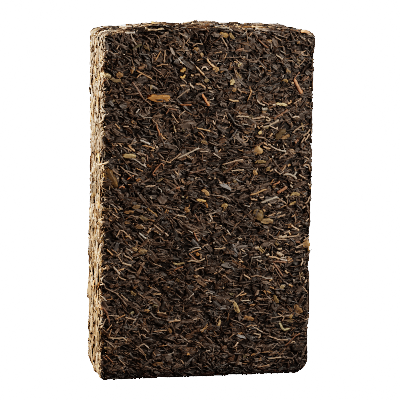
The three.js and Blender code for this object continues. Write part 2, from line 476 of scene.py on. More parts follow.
looks = {
    "darkLeaf": {
        "dark": (0.009, 0.005, 0.0035), "middle": (0.037, 0.024, 0.018), "light": (0.132, 0.102, 0.085),
        "streaks": 0.9, "wornRimHighlight": 0.35, "bump": 0.6, "gloss": 0.3,
    },
    "brownLeaf": {
        "dark": (0.013, 0.007, 0.0045), "middle": (0.059, 0.038, 0.0275), "light": (0.208, 0.162, 0.13),
        "streaks": 0.9, "wornRimHighlight": 0.35, "bump": 0.6, "gloss": 0.25,
    },
    "flatLeaf": {
        "dark": (0.008, 0.005, 0.0035), "middle": (0.033, 0.022, 0.017), "light": (0.108, 0.083, 0.068),
        "streaks": 1.1, "wornRimHighlight": 0.5, "bump": 0.8, "gloss": 0.25,
    },
    "oliveLeaf": {
        "dark": (0.045, 0.03, 0.014), "middle": (0.17, 0.112, 0.05), "light": (0.54, 0.4, 0.2),
        "streaks": 1.0, "wornRimHighlight": 0.3, "bump": 0.6, "gloss": 0.2,
    },
    "tanLeaf": {
        "dark": (0.05, 0.028, 0.014), "middle": (0.2, 0.112, 0.05), "light": (0.56, 0.33, 0.15),
        "streaks": 1.0, "wornRimHighlight": 0.3, "bump": 0.6, "gloss": 0.2,
    },
    "tanStalk": {
        "dark": (0.06, 0.038, 0.023), "middle": (0.22, 0.148, 0.1), "light": (0.58, 0.43, 0.315),
        "streaks": 0.9, "wornRimHighlight": 0.1, "bump": 0.5, "gloss": 0.25,
    },
    "redStalk": {
        "dark": (0.05, 0.027, 0.017), "middle": (0.17, 0.09, 0.058), "light": (0.62, 0.21, 0.08),
        "streaks": 0.9, "wornRimHighlight": 0.1, "bump": 0.5, "gloss": 0.25,
    },
    "paleBit": {
        "dark": (0.25, 0.18, 0.12), "middle": (0.4, 0.305, 0.215), "light": (0.78, 0.66, 0.51),
        "streaks": 0.6, "wornRimHighlight": 0.1, "bump": 0.5, "gloss": 0.2,
    },
    # The tea pressed under the loose pieces, kept darker than the loose leaf as painted shade in the gaps
    # where it shows.
    "pressedCoreAndShade": {
        "dark": (0.006, 0.004, 0.003), "middle": (0.02, 0.013, 0.009), "light": (0.055, 0.038, 0.025),
        "streaks": 1.2, "wornRimHighlight": 0.0, "bump": 1.0, "gloss": 0.15,
    },
}
finishes = {name: leafMaterial(name, look) for name, look in looks.items()}
print("finishes")


foot = {
    "dark": (1.2 * mm, 7.5 * mm),  # painted shade along the foot: full at the first height and gone at the second
    "paintedFootShade": 3.2,  # painted shade: mm lower in the mat, as the finishes see it, so they darken the foot
    "under": (0.6, 0.95),  # how far down a surface faces where leaf stands out less
    "flatter": 0.4 * mm,
    "lowest": 0.02 * mm,
}


def leafLevelAndFootShade(points, out):  # height in the mat in mm, which the finishes turn into painted shade, counted lower along the foot for painted shade there
    shaded = (1 - smoothStep(points[..., 2], *foot["dark"])) * (1 - out[..., 0] ** 2)
    return formGap(points) / mm - foot["paintedFootShade"] * shaded


def keepNotes(mesh, tint, level, rim, grain):  # what the finishes read from a mesh
    for name, values in (("tint", tint), ("level", level), ("rim", rim), ("grain", grain)):
        kind, key = ("FLOAT_VECTOR", "vector") if name == "grain" else ("FLOAT", "value")
        layer = mesh.attributes.new(name, kind, "POINT")
        layer.data.foreach_set(key, np.ascontiguousarray(values, np.float32).ravel())


def pointsOf(thing):
    flat = np.zeros(len(thing.data.vertices) * 3)
    thing.data.vertices.foreach_get("co", flat)
    return flat.reshape(-1, 3)


core = {
    "voxel": 1.8 * mm,
    "bevel": 2 * mm,
    "below": 1.15 * mm,  # under the mean surface of the broad faces and the top
    "sideBelow": 0.65 * mm,
    "footBelow": 0.25 * mm,
    "foot": (1.5 * mm, 5 * mm),  # the depth grows to the full one between these heights
    "lumps": 0.9 * mm,
    "lumpSize": 2.6 * mm,
    "lumpDepth": 2,
    "lowest": 0.05 * mm,
    "tint": 0.4,
}


def coreLevel(points):
    depth = core["below"] + (core["sideBelow"] - core["below"]) * formNormal(points)[..., 0] ** 2
    return -core["footBelow"] - (depth - core["footBelow"]) * smoothStep(points[..., 2], *core["foot"])


def makeCore():
    nothingSelected()
    bpy.ops.mesh.primitive_cube_add(size=1, location=(0, 0, high.z / 2))
    thing = bpy.context.object
    thing.name = "pressed_core"
    bpy.ops.object.mode_set(mode="EDIT")
    bpy.ops.transform.resize(value=tuple(2 * (half - core["below"])))
    bpy.ops.mesh.select_mode(type="EDGE")
    bpy.ops.mesh.select_all(action="SELECT")
    bpy.ops.mesh.bevel(offset=core["bevel"], segments=2)
    bpy.ops.object.mode_set(mode="OBJECT")
    bpy.ops.object.transform_apply(location=True, rotation=True, scale=True)
    withModifier(thing, "REMESH", mode="VOXEL", voxel_size=core["voxel"])
    points = pointsOf(thing)
    thing.data.vertices.foreach_set("co", ontoForm(points, coreLevel(points)).ravel())
    thing.data.update()
    lumps = bpy.data.textures.new("lumps", "CLOUDS")
    lumps.noise_scale = core["lumpSize"]
    lumps.noise_depth = core["lumpDepth"]
    withModifier(thing, "DISPLACE", texture=lumps, strength=core["lumps"], mid_level=0.5)
    points = pointsOf(thing)
    points[:, 2] = np.maximum(points[:, 2], core["lowest"])
    thing.data.vertices.foreach_set("co", points.ravel())
    evenTint = np.full(len(points), core["tint"])
    keepNotes(thing.data, evenTint, leafLevelAndFootShade(points, formNormal(points)), evenTint * 0, points / mm)
    thing.data.materials.append(finishes["pressedCoreAndShade"])
    return thing


# Master pieces, modelled along X: 1 unit long, and about 1 unit wide and thick. A test picks their points by
# place, in shares of that length, width and thickness.
tornRim = {"width": (0.25, 0.45), "length": (0.42, 0.48)}  # from the middle to where it starts and is whole


def moved(thing, test, step):
    choosePoints(thing, test)
    bpy.ops.transform.translate(value=step)


def scaled(thing, test, size):
    choosePoints(thing, test)
    bpy.ops.transform.resize(value=size)


def newSheet(cellsAlong, cellsAcross):
    nothingSelected()
    bpy.ops.mesh.primitive_grid_add(x_subdivisions=cellsAlong, y_subdivisions=cellsAcross, size=1)
    return bpy.context.object


def newRod(sides, length=1.0, radius=0.5):
    nothingSelected()
    bpy.ops.mesh.primitive_cylinder_add(vertices=sides, radius=radius, depth=length, end_fill_type="NGON",
                                        rotation=(0, math.pi / 2, 0))
    bpy.ops.object.transform_apply(location=False, rotation=True, scale=False)
    return bpy.context.object


def finishedMaster(thing, size=(1, 1, 1)):  # its points, triangles and rim; the object goes
    bpy.ops.object.mode_set(mode="EDIT")
    bpy.ops.mesh.select_all(action="SELECT")
    bpy.ops.mesh.normals_make_consistent(inside=False)
    bpy.ops.object.mode_set(mode="OBJECT")
    points = pointsOf(thing) / np.array(size)
    thing.data.calc_loop_triangles()
    triangles = np.array([triangle.vertices for triangle in thing.data.loop_triangles])
    alongRim = smoothStep(np.abs(points[:, 1]), *tornRim["width"])
    rim = np.maximum(alongRim, smoothStep(np.abs(points[:, 0]), *tornRim["length"]))
    bpy.data.objects.remove(thing)
    return points, triangles, rim


def thickened(thing, thickness):  # a sheet becomes a leaf, both faces split alike
    bpy.ops.mesh.select_all(action="SELECT")
    bpy.ops.mesh.quads_convert_to_tris(quad_method="FIXED")
    bpy.ops.object.mode_set(mode="OBJECT")
    withModifier(thing, "SOLIDIFY", thickness=thickness, offset=0)


def pressedLeafMaster(crease, notch, tip=0.5, taper=1):  # broad and creased, with a torn outline
    thing = newSheet(5, 3)
    moved(thing, lambda p: 0.1 < p.y < 0.3, (0, 0.03, crease))
    moved(thing, lambda p: -0.3 < p.y < -0.1, (0, -0.02, -crease * 0.8))
    moved(thing, lambda p: p.y > 0.4 and -0.2 < p.x < 0, (0, -0.14, -crease * 0.4))
    moved(thing, lambda p: p.y < -0.4 and 0.2 < p.x < 0.4, (0.03, 0.16, crease * 0.5))
    scaled(thing, lambda p: 0.25 < abs(p.x) < 0.35, (1, taper, 1))
    scaled(thing, lambda p: p.x < -0.45, (1, tip, 1))
    scaled(thing, lambda p: p.x > 0.45, (1, tip * 1.2, 1))
    moved(thing, lambda p: p.x > 0.45 and abs(p.y) < 0.2, (-notch, 0.05, 0))
    thickened(thing, 0.14)
    return finishedMaster(thing)


def leafStripMaster(fold, lip):  # a narrow strip folded lengthwise
    thing = newSheet(4, 3)
    moved(thing, lambda p: 0.1 < p.y < 0.3, (0, 0, fold))
    moved(thing, lambda p: -0.3 < p.y < -0.1, (0, 0, -fold))
    moved(thing, lambda p: p.y > 0.4, (0, 0, lip))
    scaled(thing, lambda p: abs(p.x) > 0.4, (1, 0.5, 0.8))
    moved(thing, lambda p: p.x > 0.4 and p.y > 0, (-0.08, 0, 0))
    thickened(thing, 0.2)
    return finishedMaster(thing)


def rolledLeafMaster(bend):  # a twisted leaf with a groove along it
    thing = newRod(4)
    cutAcross((-0.18, 0.2))
    moved(thing, lambda p: p.z > 0.3, (0, 0, -0.45))
    moved(thing, lambda p: abs(p.y) > 0.3, (0, 0, 0.22))
    scaled(thing, lambda p: abs(p.x) > 0.4, (1, 0.4, 0.5))
    moved(thing, lambda p: 0.1 < p.x < 0.4, (0, bend, 0.1))
    moved(thing, lambda p: -0.4 < p.x < -0.1, (0, -bend, -0.1))
    return finishedMaster(thing)


def fineShredMaster(bend, hook):
    thing = newRod(3)
    cutAcross((-0.25, 0.05, 0.32))
    scaled(thing, lambda p: abs(p.x) > 0.4, (1, 0.5, 0.6))
    moved(thing, lambda p: 0 < p.x < 0.1, (0, bend, 0.2))
    moved(thing, lambda p: p.x > 0.4, (-0.06, hook, 0))
    return finishedMaster(thing)


def stalkMaster(kink, rings=(-0.2, 0.16, 0.22)):  # round, with a swollen node at the last ring
    thing = newRod(5)
    cutAcross(rings)
    scaled(thing, lambda p: rings[-1] - 0.01 < p.x < rings[-1] + 0.01, (1, 1.3, 1.2))
    moved(thing, lambda p: p.x < -0.4, (0, kink, 0))
    scaled(thing, lambda p: p.x < -0.4, (1, 0.75, 0.7))
    return finishedMaster(thing)


def grown(step, taper):  # the chosen face moves out by the step, and its end tapers
    bpy.ops.mesh.extrude_region_move(TRANSFORM_OT_translate={"value": step})
    bpy.ops.transform.resize(value=(taper, taper, taper))


def hookedStalkMaster(angle):  # a stalk folded back on itself, in mm
    length, width, tail = 4.4, 0.8, 1.1
    thing = newRod(4, length, width / 2)
    cutAcross((-0.6,))
    chooseFace(thing, lambda face: face.normal.x)
    bpy.ops.mesh.spin(steps=3, angle=angle, center=(length / 2, width, 0), axis=(0, 0, 1))
    grown((math.cos(angle) * tail, math.sin(angle) * tail, 0), 0.8)
    return finishedMaster(thing, (length, width, width))


def forkedStalkMaster():  # a stalk with the stump of a side twig, in mm
    length, width, twig, twigAt = 6.0, 0.9, (0.9, 1.1, 0), -0.25
    thing = newRod(5, length, width / 2)
    cutAcross((-0.6, 0.1, 1.4))
    chooseFace(thing, lambda face: face.normal.y - abs(face.center.x - twigAt))
    grown(twig, 0.6)
    return finishedMaster(thing, (length, width, width))


def crumbMaster(squash):
    nothingSelected()
    bpy.ops.mesh.primitive_ico_sphere_add(subdivisions=1, radius=0.5)
    thing = bpy.context.object
    moved(thing, lambda p: p.x > 0.2, (0.1, 0.08, 0))
    scaled(thing, lambda p: p.x > 0.2, (1, squash, 0.6))
    return finishedMaster(thing)


spreading = {
    "steps": (0.7548776662, 0.569840291),  # shares of a side, which together fill it evenly
    "jitter": 0.3,  # share of the spacing
}


def evenPoints(count):  # points spread evenly over the block, with a little chance
    sides = [(axis, sign) for axis in range(3) for sign in (-1, 1)]
    areas = np.array([4 * half[(axis + 1) % 3] * half[(axis + 2) % 3] for axis, _ in sides])
    spacing = math.sqrt(2 * areas.sum() / count)
    found = []
    for (axis, sign), share in zip(sides, areas / areas.sum()):
        number = np.arange(int(round(count * share)))
        start = random.random(2)
        points = np.zeros((len(number), 3))
        points[:, axis] = sign * half[axis]
        for other, step in zip(((axis + 1) % 3, (axis + 2) % 3), spreading["steps"]):
            even = 2 * ((start[other % 2] + number * step) % 1) - 1
            jitter = random.normal(0, spreading["jitter"], len(number)) * spacing
            points[:, other] = even * half[other] + jitter
        found.append(points)
    points = np.concatenate(found) + (0, 0, half[2])
    return ontoForm(np.clip(points, (-half[0], -half[1], 0), (half[0], half[1], 2 * half[2])))


lie = {  # which way leaf lies on the broad faces, in degrees below level towards +X
    "middle": 3,
    "left": 12,  # more at the left, less at the right
    "top": 24,  # more at the top
    "topHeights": (0.19, 0.225),  # none of that below the first, all of it above the second
    "narrowSpread": 0.45,  # share of the spread that is left on the narrow sides
}


def grainHeading(points, normals, spread):  # which way leaf lies, turned by chance
    lean = np.radians(lie["middle"] - lie["left"] * points[:, 0] / half[0]
                      + lie["top"] * smoothStep(points[:, 2], *lie["topHeights"]))
    level = np.stack([np.cos(lean), 0 * lean, -np.sin(lean)], -1)
    share = normals ** 2
    heading = share[:, 1:2] * level + share[:, 0:1] * (0, 0, 1) + share[:, 2:3] * (1, 0, 0)
    heading = alongSurface(heading, normals)
    spread = spread * (lie["narrowSpread"] + (1 - lie["narrowSpread"]) * share[:, 1])
    return turned(heading, normals, random.normal(0, 1, len(points)) * spread)


def turned(headings, normals, angle):  # the headings turned about their normals
    angle = angle[:, None]
    return headings * np.cos(angle) + np.cross(normals, headings) * np.sin(angle)


def marched(points, headings, distance, bow):  # a step along the surface, with the way it then points
    points = ontoForm(points + headings * distance[:, None])
    normals = formNormal(points)
    return points, turned(alongSurface(headings, normals), normals, bow)


def marchedRoutes(centres, headings, length, bow):  # five places along each piece, and its heading at each
    route = {0: (centres, headings)}
    for way in (1, -1):
        at, heading = centres, headings
        for step in (1, 2):
            at, heading = marched(at, heading, way * length / 4, way * bow / 4)
            route[way * step] = (at, heading)
    return [np.stack([route[place][part] for place in range(-2, 3)], 1) for part in (0, 1)]


def photoRoute(pixels, places=9):  # the same for one piece along pixels of the photograph, and its length
    corners = np.array([photoPoint(pixel) for pixel in pixels])
    travelled = np.concatenate([[0], np.cumsum(np.linalg.norm(np.diff(corners, axis=0), axis=1))])
    evenly = np.linspace(0, travelled[-1], places)
    line = ontoForm(np.stack([np.interp(evenly, travelled, corners[:, i]) for i in range(3)], -1))
    return line, alongSurface(np.gradient(line, axis=0), formNormal(line)), travelled[-1]


crinkles = (  # height of each wave, and how fast it turns with length, width and seed
    (1, 1.7, 0, 1),
    (0.7, 2.9, -2.3, 1.7),
    (0.5, 0, 3.7, 2.3),
)


def crinkle(along, across, seed):  # a wave of its own for each leaf, in mm, the same on both of its faces
    return sum(height * np.sin(byLength * along + byWidth * across + bySeed * seed)
               for height, byLength, byWidth, bySeed in crinkles)


def pressed(shape, line, ahead, sizes, parts):  # one master wrapped along each route
    length, width, thick = (size[:, None] for size in sizes)
    last = line.shape[1] - 1
    local = np.clip((shape[:, 0] + 0.5) * last, 0, last)
    first = np.minimum(local.astype(int), last - 1)
    share = (local - first)[None, :, None]
    middle = line[:, first] * (1 - share) + line[:, first + 1] * share
    forward = unit(ahead[:, first] * (1 - share) + ahead[:, first + 1] * share)
    out = formNormal(middle)
    sideways = np.cross(out, forward)
    along, seed = shape[None, :, 0] * length, parts["seed"][:, None]
    angle = parts["roll"][:, None] + parts["twist"][:, None] * shape[None, :, 0]
    wide, tall = shape[None, :, 1] * width, shape[None, :, 2] * thick
    waves = crinkle(along / mm, wide / mm, seed) * parts["wave"][:, None]
    wander = crinkle(along / mm, 0, seed + 2) * parts["wander"][:, None]
    across = wide * np.cos(angle) - tall * np.sin(angle) + wander
    above = (wide * np.sin(angle) + tall * np.cos(angle) + waves
             + parts["lift"][:, None] + parts["pitch"][:, None] * along)
    beyond = (shape[:, 0] - np.clip(shape[:, 0], -0.5, 0.5))[None] * length
    mean = ontoForm(middle + forward * beyond[..., None] + sideways * across[..., None], 0, 2)
    out = formNormal(mean)
    above = above - foot["flatter"] * smoothStep(-out[..., 2], *foot["under"])
    points = mean + out * above[..., None]
    points[..., 2] = np.maximum(points[..., 2], foot["lowest"])
    grain = np.stack([along / mm, wide / mm, np.broadcast_to(seed, wide.shape)], -1)
    return points, np.broadcast_to(parts["tint"][:, None], wide.shape), leafLevelAndFootShade(points, out), grain


def narrowness(normals):  # 1 on the narrow sides, 0 on the broad faces
    return (1 - normals[:, 1] ** 2) ** 2


steady = math.inf  # the length of a wave that doesn't change along an axis
patterns = {  # depth, the third wave's share, and each wave's lengths along X, Y and Z in mm and its start
    "patches": (0.085, 0.6, ((11, steady, 17, 1), (-23, 10, 9, 0), (6, steady, -8, 2))),
    "specks": (0.64, 0.5, ((1.2, 3.1, 1.1, 1.3), (1.7, -1.6, 1.9, 0), (-0.8, 2.3, 0.7, 0.6))),
    "broadLeaf": (1, 0, ((5.3, steady, 9.1, 0.4), (-8.3, 6, 4.7, 2))),
    "hollows": (0.45, 0.6, ((1.1, steady, 1.9, 1), (steady, -0.7, 1.6, 0), (0.9, 0.6, 2.6, 0))),
}
mat = {
    "specksDarker": 0.12,
    # Specks on the top grow this much stronger and darker overall: painted light and shade for the grazing
    # light there.
    "topSpecksAndShade": 1.6,
    "noHollows": (-0.6, -0.2),  # none where a surface faces down this far, and all of them above that
    "sunk": 0.15,  # mm
    "topHollows": 1.3,
    "narrowLift": 0.6,  # share by which leaf differs from that on the broad faces, as the next four
    "topLift": 0.2,
    "narrowPitch": -0.5,
    "narrowLength": 0.6,
    "narrowWidth": 0.35,
    "front": -0.5,  # where a surface's normal counts as the front's
    "seeds": 400,
}


def pattern(name, points):  # the first wave times the second, and a share of the third
    depth, share, waves = patterns[name]
    first, second, *third = [np.sin((points / mm / lengths).sum(-1) + start) for *lengths, start in waves]
    return depth * (first * second + share * sum(third))


def patchTint(points, normals):  # lighter and darker patches across the mat, and specks on the narrow sides, stronger and darker on the top as painted light and shade
    specks = (pattern("specks", points) - mat["specksDarker"]) * narrowness(normals)
    return pattern("patches", points) + specks * (1 + mat["topSpecksAndShade"] * np.clip(normals[:, 2], 0, 1))


def hollows(points, normals):  # clumps and hollows, in mm
    return pattern("hollows", points) * smoothStep(normals[:, 2], *mat["noHollows"])


def chanceParts(values, centres, normals):
    count = len(centres)
    narrow = narrowness(normals)
    middle = sum(values["lift"]) / 2
    top = np.clip(normals[:, 2], 0, 1) ** 2
    wider = 1 + mat["narrowLift"] * narrow + mat["topLift"] * top
    lift = middle + (random.uniform(*values["lift"], count) - middle) * wider
    lift += values["patchy"] * pattern("broadLeaf", centres)
    lift += (hollows(centres, normals) - mat["sunk"]) * (narrow + mat["topHollows"] * top)
    return {
        "tint": random.beta(*values["tint"], count) + patchTint(centres, normals),
        "lift": lift * mm,
        "pitch": random.normal(0, values["pitch"], count) * (1 + mat["narrowPitch"] * narrow),
        "roll": random.normal(0, math.radians(values["roll"]), count),
        "twist": random.normal(0, math.radians(values["twist"]), count),
        "bow": random.normal(0, math.radians(values["bow"]), count),
        "wave": np.full(count, values["wave"] * mm),
        "wander": np.full(count, values["wander"] * mm),
        "seed": random.random(count) * mat["seeds"],
    }


shownLook = {
    "thick": 0.4 * mm,
    "thickShare": 0.2,  # of its width, as the next two
    "wave": 0.03,
    "wander": 0.05,
    "lift": 0.4 * mm,
    "roll": 0.2,  # radians
    "twist": 0.3,
    "tint": -0.19,  # from its tone
}


def shownPiece(shape, widthShare, pixels, width, tone):  # one piece that the photograph shows
    line, ahead, length = photoRoute(pixels)
    width = width * mm
    thick = shownLook["thick"] + shownLook["thickShare"] * width
    sizes = [np.array([size]) for size in (length, widthShare * width, thick)]
    values = {"tint": tone + shownLook["tint"], "lift": shownLook["lift"], "pitch": 0,
              "roll": shownLook["roll"], "twist": shownLook["twist"], "wave": shownLook["wave"] * width,
              "wander": shownLook["wander"] * width, "seed": pixels[0][0]}
    parts = {name: np.array([float(value)]) for name, value in values.items()}
    return pressed(shape, line[None], ahead[None], sizes, parts)


def layPieces(name, values):
    centres = evenPoints(values["count"])
    normals = formNormal(centres)
    kept = (normals[:, 1] > mat["front"]) | (random.random(len(centres)) < values["front"])
    centres, normals = centres[kept], normals[kept]
    headings = grainHeading(centres, normals, math.radians(values["spread"]))
    sizes = [np.exp(random.normal(0, spread, len(centres))) * middle * mm
             for middle, spread in (values["length"], values["width"], values["thick"])]
    sizes[0] *= 1 + mat["narrowLength"] * narrowness(normals)
    sizes[1] *= 1 + mat["narrowWidth"] * narrowness(normals)
    parts = chanceParts(values, centres, normals)
    line, ahead = marchedRoutes(centres, headings, sizes[0], parts["bow"])
    order = random.integers(0, len(values["masters"]), len(centres))
    batches = []
    for index, (shape, triangles, rim) in enumerate(values["masters"]):
        mine = np.flatnonzero(order == index)
        batches.append((pressed(shape, line[mine], ahead[mine], [size[mine] for size in sizes],
                                {key: value[mine] for key, value in parts.items()}), triangles, rim))
    (shape, triangles, rim), widthShare = shownMasters["leaf" if name in broadKinds else "stalk"]
    for piece in shownPieces.get(name, {}).values():
        batches.append((shownPiece(shape, widthShare, *piece), triangles, rim))
    thing = joinedCopies(name, batches)
    thing.data.materials.append(finishes[values["finish"]])
    print(name, len(centres), "pieces,", len(thing.data.polygons), "triangles")
    return thing


def joinedCopies(name, batches):
    points, faces, notes, start = [], [], [], 0
    for (places, tint, level, grain), triangles, rim in batches:
        copies, each = places.shape[:2]
        faces.append((triangles[None] + (start + np.arange(copies) * each)[:, None, None]).reshape(-1, 3))
        points.append(places.reshape(-1, 3))
        notes.append((tint.ravel(), level.ravel(), np.tile(rim, copies), grain.reshape(-1, 3)))
        start += copies * each
    thing = meshFrom(name, np.concatenate(points), np.concatenate(faces))
    keepNotes(thing.data, *(np.concatenate(column) for column in zip(*notes)))
    return thing


def meshFrom(name, points, triangles):
    mesh = bpy.data.meshes.new(name)
    mesh.vertices.add(len(points))
    mesh.vertices.foreach_set("co", points.astype(np.float32).ravel())
    mesh.loops.add(triangles.size)
    mesh.loops.foreach_set("vertex_index", triangles.astype(np.int32).ravel())
    mesh.polygons.add(len(triangles))
    mesh.polygons.foreach_set("loop_start", np.arange(len(triangles), dtype=np.int32) * 3)
    mesh.update(calc_edges=True)
    thing = bpy.data.objects.new(name, mesh)
    bpy.context.scene.collection.objects.link(thing)
    return thing


